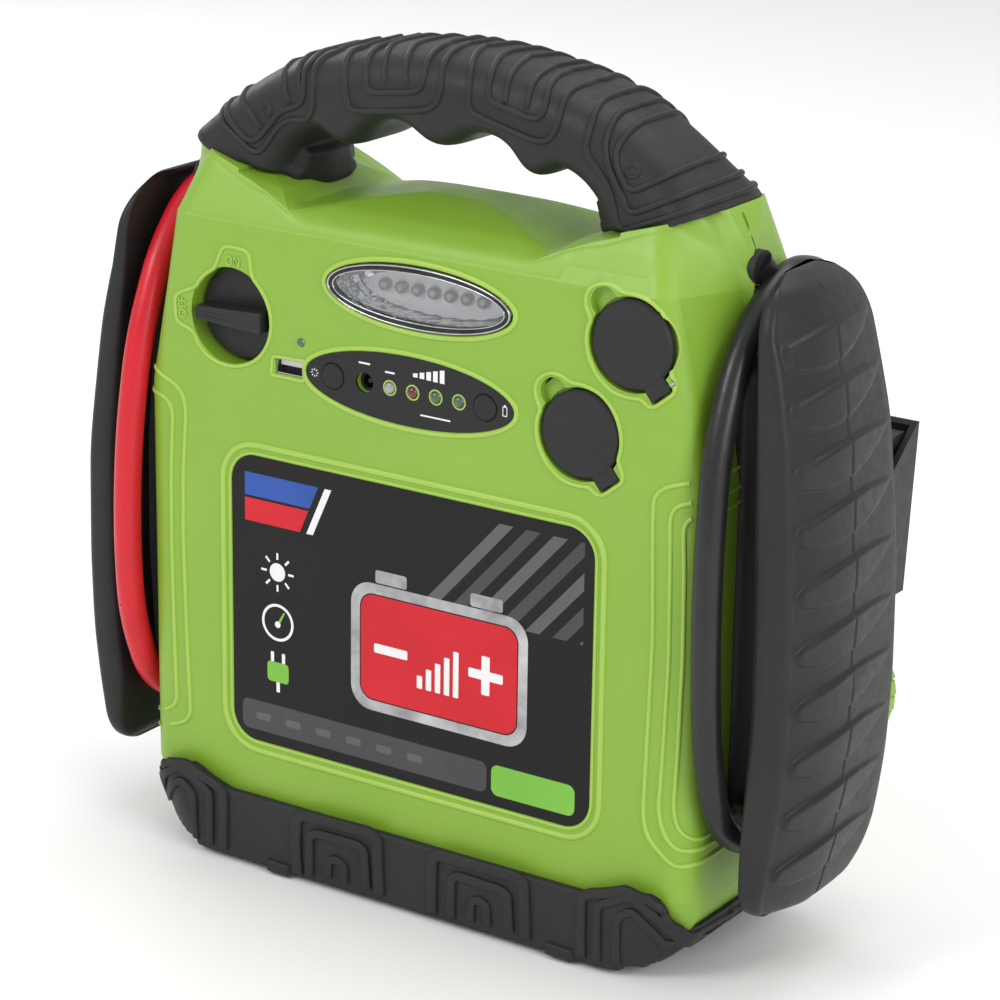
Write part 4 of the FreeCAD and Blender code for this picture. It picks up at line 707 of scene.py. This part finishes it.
for rib_line in (
    ((112, 220), (140, 255), (166, 290)),
    ((222, 150), (228, 185), (238, 225)),
    ((262, 134), (266, 172), (270, 205)),
    ((505, 72), (492, 100), (490, 140), (495, 176)),
    ((565, 74), (550, 100), (547, 140), (548, 176)),
    ((890, 90), (842, 122), (817, 165), (812, 225)),
    ((972, 108), (902, 146), (878, 182), (868, 240)),
):
    half = [q for q in arch_view(rib_line) if q.y < SEAM - 1.5]
    path = mirrored(half[::-1], y=True) + [crest(half[0])] + half
    bead(grip_ribs, path, GRIP, 2.3, 1.15, r=4.0)
for spot in ((177, 240), (1150, 402)):
    at = arch_view((spot,))[0]
    at, nor, _, _ = GRIP.find_nearest(at)
    nor = Vector(nor)
    e = nor.orthogonal().normalized()
    f = nor.cross(e)
    ring = [Vector(at) + e * (2.4 * math.cos(a)) + f * (2.4 * math.sin(a))
            for a in [math.radians(30 * i) for i in range(12)]]
    bead(grip_ribs, ring, GRIP, 1.4, 0.5, closed=True, r=1.0, step=0.6, up=nor)
    bead(grip_ribs, mirrored(ring, y=True), GRIP, 1.4, 0.5, closed=True, r=1.0, step=0.6,
         up=Vector((nor.x, -nor.y, nor.z)))
grip_ribs.done("grip_relief", "black_rubber")


# base bumper: nested raised bands, the same on the rear

def foot_view(points):
    return seen(BUMPER, points, 140, 740, 2.529)


bumper_bands = Heap()
middle_bands = (
    (((396, 345), (397, 270), (399, 196), (412, 188), (585, 234), (603, 250),
      (605, 330), (608, 395)), 4.6, 1.5),
    (((431, 345), (431, 290), (431, 240), (445, 234), (552, 264), (570, 276),
      (573, 330), (576, 378)), 3.8, 1.4),
    (((478, 350), (478, 322), (480, 298), (508, 306), (518, 318), (520, 362)), 3.4, 1.2),
    (((739, 440), (740, 370), (742, 296), (756, 288), (955, 345), (973, 360),
      (975, 430), (977, 505)), 4.6, 1.5),
    (((788, 452), (788, 400), (790, 346), (804, 342), (915, 378), (932, 390),
      (934, 440), (937, 488)), 3.8, 1.4),
    (((838, 462), (838, 430), (840, 400), (868, 408), (878, 420), (880, 474)), 3.4, 1.2),
)
pads = (((322, 312), (350, 322), (380, 331)), ((1024, 522), (1060, 535), (1096, 547)))
for pad in pads:
    line = foot_view(pad)
    for copy in (line, mirrored(line, y=True)):
        bead(bumper_bands, copy, BUMPER, 5.0, 1.4, profile=FLAT, r=1.0, taper=0.4)
corner_bands = (
    (((1117, 552), (1117, 470), (1118, 396), (1134, 388), (1190, 386), (1235, 366), (1300, 414), (1366, 462),
      (1440, 430), (1508, 402)), 4.0, 1.4),
    (((1157, 562), (1157, 490), (1158, 418), (1175, 412), (1225, 398), (1246, 396), (1300, 440), (1352, 492),
      (1430, 456), (1500, 424)), 3.4, 1.3),
    (((1205, 572), (1205, 510), (1206, 450), (1235, 434), (1252, 436), (1300, 486), (1330, 520), (1400, 488),
      (1478, 446)), 3.2, 1.2),
)
for band, width, height in middle_bands:
    line = foot_view(band)
    for copy in (line, mirrored(line, y=True)):
        bead(bumper_bands, copy, BUMPER, width, height, profile=FLAT, r=2.6, taper=0.5)
for band, width, height in corner_bands:
    line = foot_view(band)
    end = line[-1]
    line = line + [Vector((end.x, (end.y + SEAM) / 2, end.z)), Vector((end.x, SEAM, end.z))]
    for x in (False, True):
        for y in (False, True):
            bead(bumper_bands, mirrored(line, x, y), BUMPER, width, height, profile=FLAT, r=3.0, taper=0.5)
bumper_bands.done("bumper_relief", "black_rubber")


# housing: raised rims and stepped lines

rims = Heap()
UP = (0, -1, 0)
bead(rims, in_plane(round_box(0, LABEL_Z, 168.6, 122, 15)), SHELL, 2.6, 0.9, closed=True, up=UP, step=1.5)
bead(rims, in_plane(round_box(0, LABEL_Z, 162.2, 115.6, 12)), SHELL, 1.3, 0.5, closed=True, up=UP, step=1.5)
bead(rims, in_plane(oval(LAMP_X, LAMP_Z, 41.4, 13.0)), SHELL, 2.3, 0.9, closed=True, up=UP)
bead(rims, in_plane(oval(0, PANEL_Z, 46.7, 14.1)), SHELL, 2.1, 0.8, closed=True, up=UP)


def face_view(points, left, top, scale):
    """Points of a zoomed view, carried onto the plane of the front face."""
    made = []
    for a, b in points:
        d = ray(left + a / scale, top + b / scale)
        made.append(EYE + d * ((FRONT - EYE.y) / d.y))
    return made


knob_rim = ((186, 268), (122, 288), (105, 300), (102, 330), (106, 392), (116, 410), (178, 446), (190, 485),
            (215, 525), (255, 562), (300, 582), (345, 590), (395, 580), (440, 548), (468, 490), (480, 420),
            (476, 360), (462, 310), (440, 268), (410, 232), (400, 142), (386, 122), (312, 104), (294, 108),
            (284, 128), (262, 192), (232, 216), (208, 240))
bead(rims, face_view(knob_rim, 150, 220, 4.0205), SHELL, 1.7, 0.8, closed=True, up=UP, r=2.6, step=0.8)
bead(rims, face_view(((494, 546), (627, 568), (620, 650), (488, 622)), 150, 220, 4.0205), SHELL, 1.6, 0.7,
     closed=True, up=UP, r=0.8, step=0.6)
cap_rim = [(352, 392), (328, 335), (320, 285), (343, 228), (400, 204), (455, 216), (502, 256), (560, 262),
           (640, 296), (702, 362), (744, 450), (756, 540), (736, 650), (759, 701), (764, 752), (653, 826),
           (620, 812), (596, 778), (530, 775), (450, 744), (382, 670), (338, 582), (324, 490), (334, 420)]
for shift in (Vector((0, 0, 0)), Vector((-19.8, 0, -35.4))):
    bead(rims, [q + shift for q in face_view(cap_rim, 520, 240, 4.9)], SHELL, 1.7, 0.8, closed=True, up=UP,
         r=3.0, step=0.8)


def step_line(points, left, top, scale, back_x):
    """A moulded step on the front that carries on round the corner to the side."""
    line = seen(SHELL, points, left, top, scale)
    a, b = line[0], line[-1]
    first = [Vector((back_x, SEAM - 4, a.z + 1)), Vector((back_x, SEAM - 18, a.z))]
    last = [Vector((back_x, SEAM - 18, b.z)), Vector((back_x, SEAM - 4, b.z + 1))]
    path = first + line + last
    bead(rims, path, SHELL, 1.9, 0.8, r=5.0)
    bead(rims, mirrored(path, y=True), SHELL, 1.9, 0.8, r=5.0)


for line in (
    ((280, 660), (228, 670), (205, 690), (203, 760), (203, 1000), (192, 1200), (181, 1380), (188, 1432),
     (252, 1500), (290, 1492)),
    ((280, 704), (252, 712), (241, 735), (241, 850), (238, 1050), (226, 1240), (214, 1380), (226, 1428),
     (254, 1462), (292, 1462)),
    ((281, 738), (270, 760), (272, 860), (268, 1050), (258, 1240), (247, 1375), (258, 1420), (292, 1440)),
):
    step_line(line, 560, 180, 2.18, 122)
for line in (
    ((166, 592), (184, 612), (226, 642), (240, 690), (233, 850), (233, 1010), (242, 1250), (252, 1455),
     (236, 1474), (172, 1478)),
    ((158, 642), (192, 664), (207, 700), (203, 850), (204, 1010), (210, 1220), (218, 1420), (206, 1436),
     (168, 1440)),
):
    step_line(line, 90, 130, 2.49, -122)
# the raised rims and steps take the lighter green, a painted highlight
rims.done("housing_relief", "green_shell", RIM_HIGHLIGHT)


def lettering(name, text, x, z, size, spin, material, y=FRONT, raised=0.35, back=False, body="housing",
              tree=None, narrow=1.0):
    curve = bpy.data.curves.new(name, "FONT")
    curve.body = text
    curve.size = size * MM
    curve.extrude = raised / 2 * MM
    curve.align_x, curve.align_y = "CENTER", "CENTER"
    made = bpy.data.objects.new(name, curve)
    scene.collection.objects.link(made)
    flip = Matrix.Rotation(math.pi, 4, "Z") if back else Matrix.Identity(4)
    made.matrix_world = (Matrix.Translation(Vector((x, y, z)) * MM) @ flip
                         @ Matrix.Rotation(math.pi / 2, 4, "X") @ Matrix.Rotation(math.radians(spin), 4, "Z")
                         @ Matrix.Diagonal((narrow, 1, 1, 1)))
    bpy.context.view_layer.update()
    mesh = bpy.data.meshes.new_from_object(made)
    mesh.transform(made.matrix_world)
    if tree is not None:
        for v in mesh.vertices:
            hit = tree.ray_cast(Vector((v.co.x / MM, -90, v.co.z / MM)), Vector((0, 1, 0)))[0]
            v.co.y = (hit.y + (-0.45 if v.co.y < y * MM else 0.3)) * MM
    mesh.materials.clear()
    mesh.materials.append(material)
    bpy.data.objects.remove(made)
    o = bpy.data.objects.new(name, mesh)
    scene.collection.objects.link(o)
    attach(o, body)


# the raised ON and OFF marks take the same lighter green, a painted highlight
lettering("switch_on_mark", "ON", -78.4, 237.4, 5.2, 0, RIM_HIGHLIGHT, tree=SHELL, narrow=0.82)
lettering("switch_off_mark", "OFF", -102.0, 216.4, 5.2, 90, RIM_HIGHLIGHT, tree=SHELL, narrow=0.88)


# switch knob, with its edges rounded

def rounded_prism(outline, front, back, r):
    """A prism along Y with all its edges rounded apart from those at the back."""
    form = bmesh.new()
    a = [form.verts.new((x, front, z)) for x, z in outline]
    b = [form.verts.new((x, back, z)) for x, z in outline]
    form.faces.new(a)
    form.faces.new(b[::-1])
    for i in range(len(a)):
        j = (i + 1) % len(a)
        form.faces.new((a[j], a[i], b[i], b[j]))
    edges = [e for e in form.edges if not all(v.co.y == back for v in e.verts)]
    if len(outline) > 12:
        edges = [e for e in edges if all(v.co.y == front for v in e.verts)]
    bmesh.ops.bevel(form, geom=edges, offset=r, segments=4, profile=0.5, affect="EDGES")
    bmesh.ops.recalc_face_normals(form, faces=form.faces)
    form.verts.index_update()
    verts, faces = [v.co.copy() for v in form.verts], [[v.index for v in f.verts] for f in form.faces]
    form.free()
    return verts, faces


knob_disc = surface("switch_knob").ray_cast(Vector((KNOB_X, -100, 230)), Vector((0, 1, 0)))[0].y
knob_form = Heap()
knob_form.add(*rounded_prism(oval(KNOB_X, KNOB_Z, 16.8, 16.8, 96), knob_disc, knob_disc + 5.7, 0.7))
knob_form.add(*rounded_prism([(-94.9, 213.9), (-94.9, 219.0), (-64.4, 220.6), (-64.4, 212.3)], -60.0,
                             knob_disc + 1.0, 1.1))
knob_form.add(*rounded_prism(oval(KNOB_X, KNOB_Z, 3.6, 3.6, 24), knob_disc + 5.0, -33.0, 0.3))
knob_form.done("knob_form", "black_plastic", body="knob", smooth=False,
               replaces=("switch_knob",))
mark = Heap()
KNOB = BVHTree.FromPolygons([Vector(v) for v in knob_form.verts], knob_form.faces)
for z in (216.9, 215.4):
    bead(mark, [Vector((-94.2, -60, z)), Vector((-79.5, -60, z - 0.1))], KNOB, 0.8, 0.35, up=UP, step=0.6,
         taper=0.8)
mark.done("knob_mark", "black_plastic", body="knob")


# lamp: bright edge of the lens, laid on the clear lens as a painted highlight line beside a painted shade
# band for its reflections, and the white insert round the LEDs

LENS = surface("lamp_lens")
# bright lines on the clear lens: painted highlight for its edge catching the light
edge = Heap()
bead(edge, in_plane(oval(LAMP_X, LAMP_Z, 39.3, 11.0), y=-57.8), LENS, 0.7, 0.4, closed=True, up=UP)
bead(edge, in_plane(oval(LAMP_X, LAMP_Z, 37.2, 9.0), y=-57.8), LENS, 0.5, 0.25, closed=True, up=UP)
edge.done("lens_edge", "chrome_plastic", M["lens_edge_glint"])
# a dark band on the clear lens between the bright lines: painted shade
edge = Heap()
bead(edge, in_plane(oval(LAMP_X, LAMP_Z, 38.3, 10.0), y=-57.8), LENS, 1.1, 0.12, closed=True, up=UP,
     profile=FLAT)
edge.done("lens_band", "chrome_plastic", M["lens_band_shade"])
INSERT_X, INSERT_Z, AROUND = 5.0, 235.9, 160
insert = []
for k in range(AROUND):
    a = 2 * math.pi * k / AROUND
    x, z = INSERT_X + 30.8 * math.cos(a), INSERT_Z + 7.2 * math.sin(a)
    if z < 233:
        z -= 0.55 * abs(math.sin(math.pi * (x - INSERT_X) / 7.6)) * min(1.0, (233 - z) / 2)
    insert.append((x, z))
verts = [(x, -46.6, z) for x, z in insert]
verts += [(INSERT_X + (x - INSERT_X) * 0.5, -46.1, 236.2 + (z - 236.2) * 0.5) for x, z in insert]
verts.append((INSERT_X, -46.1, 236.2))
faces = []
for k in range(AROUND):
    n = (k + 1) % AROUND
    faces += [(k, n, AROUND + n, AROUND + k), (AROUND + k, AROUND + n, 2 * AROUND)]
piece("lamp_insert", verts, faces, "white_board")


def dome(name, x, z, r, y, bulge, material):
    """A light's dome of radius r on the plane y."""
    rings, spokes = 6, 24
    verts = [(x, y - bulge, z)]
    for i in range(1, rings + 1):
        a = math.pi / 2 * i / rings
        for j in range(spokes):
            b = 2 * math.pi * j / spokes
            verts.append((x + r * math.sin(a) * math.cos(b), y - bulge * math.cos(a),
                          z + r * math.sin(a) * math.sin(b)))
    faces = [(0, 1 + j, 1 + (j + 1) % spokes) for j in range(spokes)]
    for i in range(rings - 1):
        for j in range(spokes):
            a, b = 1 + i * spokes, 1 + (i + 1) * spokes
            faces.append((a + j, b + j, b + (j + 1) % spokes, a + (j + 1) % spokes))
    piece(name, verts, faces, "led", material)


# the flat rings round the panel lights take the lighter green, a painted highlight
light_rims = Heap()
for k, tone in enumerate(("clear", "red", "green", "green")):
    x = -7.9 + 10 * k
    rings = [[(x + r * math.cos(a), FRONT - 0.08, PANEL_Z + r * math.sin(a))
              for a in (2 * math.pi * i / 24 for i in range(24))] for r in (2.95, 2.35)]
    light_rims.add(rings[0] + rings[1], grid_faces(2, 24, wrap=True))
    dome("light_%d_%s" % (k + 1, tone), x, PANEL_Z, 2.05, FRONT - 0.3, 1.15, TINT[tone])
light_rims.done("light_rims", "green_shell", RIM_HIGHLIGHT, smooth=False)
dome("power_light_dome", -47.5, 212.0, 1.35, FRONT - 0.5, 0.8, TINT["teal"])


# parting line between the two shells

parting = Heap()
for tree, height, low, step, count, nearest, every in ((SHELL, 0.08, 44, 1.9, 120, 110, 1.5),
                                                       (CROWN, 0.3, 246, 1.7, 20, 104, 1.0)):
    for side in (-1, 1):
        run = []
        for k in range(count):
            start = Vector((side * 135, SEAM - 0.4, low + step * k))
            hit = tree.ray_cast(start, Vector((-side, 0, 0)), 60)[0]
            if hit is not None and abs(hit.x) > nearest:
                run.append(Vector(hit))
        bead(parting, run, tree, 0.7 if tree is SHELL else 0.8, height, r=1.0, sink=0.2, step=every)
parting.done("parting_line", "black_plastic")


# cable guards: bowed paddles with a lens-shaped rib pattern

LEAVES = (244.7, 225.1, 204.5, 184.3, 163.0, 141.8, 121.5, 100.7, 80.1, 58.9)
LEAF_Y = (-30, -29, -26, -20, -10, 0, 10, 20, 27, 31)
UPPER = (-9.5, -7.6, -5.6, -3.2, -0.9, 0.3, 0.7, 0.3, -0.6, -1.5)
LOWER = (-9.5, -11.8, -13.4, -14.6, -15.0, -14.0, -11.6, -7.8, -4.2, -1.5)


def leaf_height(y, z):
    """Height of the rib pattern over the guard, for arrays of places on its outer face."""
    h = np.zeros_like(z)
    for k, level in enumerate(LEAVES):
        up = level + np.interp(y, LEAF_Y, UPPER)
        low = level + np.interp(y, LEAF_Y, LOWER)
        inside = (y > -30) & (y < 31) & (z < up) & (z > low)
        a, b = np.clip(up - z, 0, None), np.clip(z - low, 0, None)
        size = np.interp(y, (-30, -24, 0, 31), (2.3, 2.3, 1.7, 0.7))
        tip = np.clip((y + 30) / 1.6, 0, 1) ** 0.5
        part = np.clip(b / np.maximum(a + b, 1e-6), 0, 1)
        lift = size * (0.42 + 0.58 * part) * np.clip(a / 1.3, 0, 1) * np.clip(b / 1.0, 0, 1) * tip
        h = np.where(inside, np.maximum(h, lift), h)
    h += np.where(y > 0, 0.16, 0.0)
    h -= 0.5 * np.exp(-((y / 0.45) ** 2))
    return h


def guard(side, replaced):
    foot, top = 30.0, 260.6 if side > 0 else 259.4
    levels = [foot + 5 * (1 - math.cos(math.pi / 2 * i / 6)) for i in range(6)]
    levels += list(np.linspace(foot + 5, top - 5, 400))
    levels += [top - 5 + 5 * math.sin(math.pi / 2 * i / 6) for i in range(1, 7)]
    z_at = (30, 35, 59, 79, 109, 151, 171, 204, 225, 245, 257, 262)
    x_mid = (151.5, 154.5, 159, 161.8, 163.2, 162.6, 161, 158, 154, 149.6, 145, 143)
    x_in = (139.5, 139.5, 139.5, 140.5, 141.8, 141.4, 140, 138, 136.8, 135.6, 134.4, 133.8)
    y_front = (-34.4, -34.6, -34.6, -34.4, -34, -33.8, -33, -31.2, -30, -28.4, -27, -26.5)
    crown_f = (7.5, 8, 8.4, 8.6, 8.7, 8.5, 8.4, 8.2, 8.2, 9.2, 9.6, 9.6)
    crown_r = (0.6, 0.6, 0.7, 0.9, 1.0, 1.2, 1.4, 2.0, 3.4, 4.5, 5, 5)
    fine = np.linspace(20, 270, 251)

    def rail(values):
        line = np.interp(fine, z_at, values)
        for _ in range(60):
            line[1:-1] = (line[:-2] + 2 * line[1:-1] + line[2:]) / 4
        return line

    if side < 0:
        x_mid = [x - float(np.interp(z, (30, 150, 240), (1.4, 2.0, 4.2))) for x, z in zip(x_mid, z_at)]
    rails = [rail(q) for q in (x_mid, x_in, y_front, crown_f, crown_r)]
    verts = []
    for z in levels:
        t, b = top - z, z - foot
        d = 0.0
        for gap in (t, b):
            if gap < 5:
                d = max(d, 5 - math.sqrt(max(0.0, 25 - (5 - gap) ** 2)))
        xo, xi, yf, cf, cr = (float(np.interp(z, fine, q)) for q in rails)
        yb = 36.0

        def corner(gap, r):
            return r - math.sqrt(max(0.0, r * r - (r - gap) ** 2)) if gap < r else 0.0

        yf += max(corner(t, 20.0), corner(b, 14.0))
        yb -= max(corner(t, 24.0), corner(b, 25.0))
        xo -= 0.75 * corner(t, 11.0) if side > 0 else 0.62 * corner(t, 22.0)
        cf, cr = min(cf, 0.62 * (xo - xi)), min(cr, 0.5 * (xo - xi))
        thick = xo - xi
        d = min(d, 0.45 * (thick - cf))
        xi, xo, yf, yb = xi + d, xo - d, yf + 0.6 * d, yb - 0.6 * d
        rb = min(3.6, 0.45 * (thick - cf - 2 * d) + 0.2)
        ys = np.concatenate([np.linspace(yf + rb, -0.9, 72), (-0.55, -0.3, 0.0, 0.3, 0.55),
                             np.linspace(0.9, yb - 3.0, 60)])
        span_f, span_r = -yf, yb
        xs = xo - np.where(ys < 0, cf * (ys / span_f) ** 2, cr * (ys / span_r) ** 2)
        lift = leaf_height(ys, np.full_like(ys, z))
        fade = np.clip((ys - yf - rb) / (3 if side > 0 else 9), 0, 1) * np.clip((yb - 3 - ys) / 3, 0, 1)
        fade *= min(1, t / 5, b / 5)
        slope = np.gradient(xs, ys)
        nx, ny = 1 / np.sqrt(1 + slope ** 2), -slope / np.sqrt(1 + slope ** 2)
        px, py = xs + nx * lift * fade, ys + ny * lift * fade
        ring = []
        rc = min(3.0, 0.4 * (thick - 2 * d)) if side > 0 else min(5.5, 0.5 * (thick - cf - 2 * d))
        for i in range(5):
            a = math.radians(180 + 90 * i / 4)
            ring.append((xi + rc + rc * math.cos(a), yf + rc + rc * math.sin(a)))
        x_edge = xs[0]
        for i in range(8):
            a = math.radians(-90 + 90 * i / 8)
            ring.append((x_edge - rb + rb * math.cos(a), yf + rb + rb * math.sin(a)))
        ring += list(zip(px, py))
        x_edge = xs[-1]
        for i in range(1, 6):
            a = math.radians(90 * i / 5)
            ring.append((x_edge - 3 + 3 * math.cos(a), yb - 3 + 3 * math.sin(a)))
        for i in range(5):
            a = math.radians(90 + 90 * i / 4)
            ring.append((xi + rc + rc * math.cos(a), yb - rc + rc * math.sin(a)))
        count = len(ring)
        verts += [(min(x, 164.3) * side, y + SEAM, z) for x, y in ring]
    rows = len(levels)
    faces = grid_faces(rows, count, wrap=True, flip=side < 0)
    for row, up in ((0, False), (rows - 1, True)):
        f = tuple(row * count + j for j in range(count))
        faces.append(f if up == (side > 0) else f[::-1])
    piece("right_guard" if side > 0 else "left_guard", verts, faces, "black_plastic",
          replaces=replaced)


guard(1, ("right_guard_front", "right_guard_rear"))
guard(-1, ("left_guard_front", "left_guard_rear"))


def post(side):
    """The post that the lead is wound round, rounded on its edges and flared at both ends."""
    stations = ((121.0, 2.6), (121.8, 1.6), (123.0, 0.6), (125, 0.0), (136, 0.0), (140, 0.6), (142.5, 1.6),
                (146, 3.0))
    verts = [(x * side, y, z) for x, flare in stations
             for y, z in round_box(SEAM, 143, 20 + 2 * flare, 166 + 2 * flare, 9.8 + flare, 10)]
    piece("right_post" if side > 0 else "left_post", verts,
          grid_faces(len(stations), len(verts) // len(stations), wrap=True, flip=side > 0),
          "black_plastic")


post(1)
post(-1)


# label: a generic design in flat colours

def flat(heap, pts, y):
    heap.add([(a, y, b) for a, b in pts], [tuple(range(len(pts)))])


def band_ring(heap, outer, inner, y):
    heap.add([(a, y, b) for a, b in outer + inner], grid_faces(2, len(outer), wrap=True))


def rays(heap, x, z, inner, outer, half):
    """Eight short rays round a place, as on a lamp symbol."""
    for turn in range(0, 360, 45):
        c, s = math.cos(math.radians(turn)), math.sin(math.radians(turn))
        flat(heap, [(x + c * r - s * w, z + s * r + c * w) for r, w in
                    ((inner, -half), (outer, -half), (outer, half), (inner, half))], Y2)


def clip(pts, x0, x1, z0, z1):
    """The part of a polygon inside a rectangle."""
    for axis, limit, keep in ((0, x0, 1), (0, x1, -1), (1, z0, 1), (1, z1, -1)):
        made = []
        for i, p in enumerate(pts):
            q = pts[(i + 1) % len(pts)]
            ins, inq = keep * (p[axis] - limit) >= 0, keep * (q[axis] - limit) >= 0
            if ins:
                made.append(p)
            if ins != inq:
                t = (limit - p[axis]) / (q[axis] - p[axis])
                made.append((p[0] + t * (q[0] - p[0]), p[1] + t * (q[1] - p[1])))
        pts = made
        if len(pts) < 3:
            return []
    return pts


art = {k: Heap() for k in INK}
Y1, Y2, Y3, Y4 = FRONT - 0.03, FRONT - 0.06, FRONT - 0.09, FRONT - 0.12
for i in range(9):
    x = 2 + 11.5 * i
    stripe = clip([(x, 118), (x + 6, 118), (x + 44, 160), (x + 38, 160)], -78, 76, 122, 160)
    if stripe:
        flat(art["grey" if i % 2 else "light"], stripe, Y1)
flat(art["grey"], round_box(-20, 61.5, 112, 12, 3), Y1)
flat(art["green"], round_box(56, 61.5, 36, 12, 3), Y1)
flat(art["blue"], [(-74, 158), (-40, 158), (-44, 149), (-74, 149)], Y1)
flat(art["red"], [(-74, 148), (-44.5, 148), (-48.5, 139), (-74, 139)], Y1)
flat(art["white"], [(-37, 158), (-34, 158), (-42.5, 139), (-45.5, 139)], Y1)
cx, cz = 14, 101
band_ring(art["silver"], round_box(cx, cz, 78, 50, 9), round_box(cx, cz, 70, 42, 6), Y2)
flat(art["silver"], round_box(cx - 21, cz + 28, 14, 5, 1), Y2)
flat(art["silver"], round_box(cx + 21, cz + 28, 14, 5, 1), Y2)
flat(art["red"], round_box(cx, cz, 69, 41, 5.6), Y2)
flat(art["white"], round_box(cx - 21, cz, 15, 3.6, 0.6), Y3)
flat(art["white"], round_box(cx + 21, cz, 15, 3.6, 0.6), Y3)
flat(art["white"], round_box(cx + 21, cz, 3.6, 15, 0.6), Y4)
for k in range(5):
    flat(art["white"], round_box(cx - 8 + 4 * k, cz - 9 + 1.6 * k, 2.4, 5 + 3.2 * k, 0.4), Y3)
for k, icon in enumerate(("lamp", "dial", "plug")):
    z = 121 - 20 * k
    x = -59
    if icon == "lamp":
        flat(art["white"], oval(x, z, 3.6, 3.6, 32), Y2)
        rays(art["white"], x, z, 5, 7.6, 0.45)
    elif icon == "dial":
        band_ring(art["white"], oval(x, z, 7.4, 7.4, 48), oval(x, z, 6.3, 6.3, 48), Y2)
        flat(art["green"], [(x - 0.7, z - 1), (x + 0.7, z - 1), (x + 3.4, z + 4.2), (x + 2.8, z + 4.6)], Y2)
        flat(art["white"], oval(x, z - 0.8, 1.3, 1.3, 24), Y3)
    else:
        flat(art["green"], round_box(x, z, 10, 8, 1.6), Y2)
        for dx in (-2.6, 2.6):
            flat(art["white"], round_box(x + dx, z + 6, 1.5, 4, 0.4), Y2)
        flat(art["white"], round_box(x, z - 6, 1.6, 4, 0.3), Y2)
for k in range(6):
    flat(art["light"], round_box(-66 + 14 * k, 61.5, 7, 3, 0.8), Y2)

# control panel symbols: rising bars, a lamp mark, a battery mark and short ticks
for k in range(5):
    flat(art["white"], [(2.2 + 2.9 * k, 207.6 - 0.1 * k), (4.2 + 2.9 * k, 207.6 - 0.1 * k),
                        (4.2 + 2.9 * k, 209.2 + 0.75 * k), (2.2 + 2.9 * k, 208.9 + 0.75 * k)], Y2)
rays(art["white"], -41.4, PANEL_Z, 0.9, 1.7, 0.16)
band_ring(art["white"], round_box(41.6, PANEL_Z, 2.0, 3.6, 0.3), round_box(41.6, PANEL_Z, 1.4, 3.0, 0.2), Y2)
for mark in ((41.6, 203.8, 0.9, 0.6, 0.1), (-7.9, 207.4, 4.2, 0.7, 0.2), (-19.1, 209.0, 5.0, 0.7, 0.2),
             (12.0, 194.0, 13.0, 0.6, 0.2)):
    flat(art["white"], round_box(*mark), Y2)
for key, heap in art.items():
    heap.done("print_" + key, "label", INK[key], smooth=False)


# pressure gauge face, on the back

dial_marks = Heap()
for k in range(31):
    a = math.radians(225 - 9 * k)
    long = 4.2 if k % 5 == 0 else 2.4
    wide = 0.35 if k % 5 == 0 else 0.18
    c, s = math.cos(a), math.sin(a)
    quad = [(-(c * r - s * w), 36.04, GAUGE_Z + s * r + c * w) for r, w in
            ((19 - long, -wide), (19, -wide), (19, wide), (19 - long, wide))]
    dial_marks.add(quad, [(0, 1, 2, 3)])
dial_marks.done("gauge_marks", "dial", M["gloss_black"], smooth=False)
for k in range(7):
    a = math.radians(225 - 45 * k)
    lettering("gauge_number_%d" % k, str(k * 2), -11.6 * math.cos(a), GAUGE_Z + 11.6 * math.sin(a), 3.6, 0,
              M["gloss_black"], y=36.05, raised=0.05, back=True)


# floor, light

floor = bpy.data.meshes.new("floor")
floor.from_pydata([(-6, -6, 0), (6, -6, 0), (6, 6, 0), (-6, 6, 0)], [], [(0, 1, 2, 3)])
ground = bpy.data.objects.new("floor", floor)
scene.collection.objects.link(ground)
floor.materials.append(M["floor"])
ground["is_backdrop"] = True

world = bpy.data.worlds.new("studio")
scene.world = world
world.use_nodes = True
sky = world.node_tree.nodes["Background"]
sky.inputs["Color"].default_value = (1.0, 1.0, 1.0, 1)
sky.inputs["Strength"].default_value = 0.68


def lamp(name, place, aim, size, power):
    data = bpy.data.lights.new(name, "AREA")
    data.size = size
    data.energy = power
    o = bpy.data.objects.new(name, data)
    scene.collection.objects.link(o)
    o.location = place
    o.rotation_mode = "QUATERNION"
    o.rotation_quaternion = (Vector(aim) - Vector(place)).to_track_quat("-Z", "Y")


lamp("key", (-0.9, -1.9, 1.7), (0, -0.05, 0.15), 1.0, 22)
lamp("right", (1.9, -0.7, 1.0), (0.05, 0, 0.15), 1.0, 17)
lamp("top", (0.1, 0.5, 1.9), (0, 0, 0.2), 1.2, 12)
lamp("rim", (-1.6, 0.9, 1.0), (0, 0, 0.2), 0.8, 7)

low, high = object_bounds()
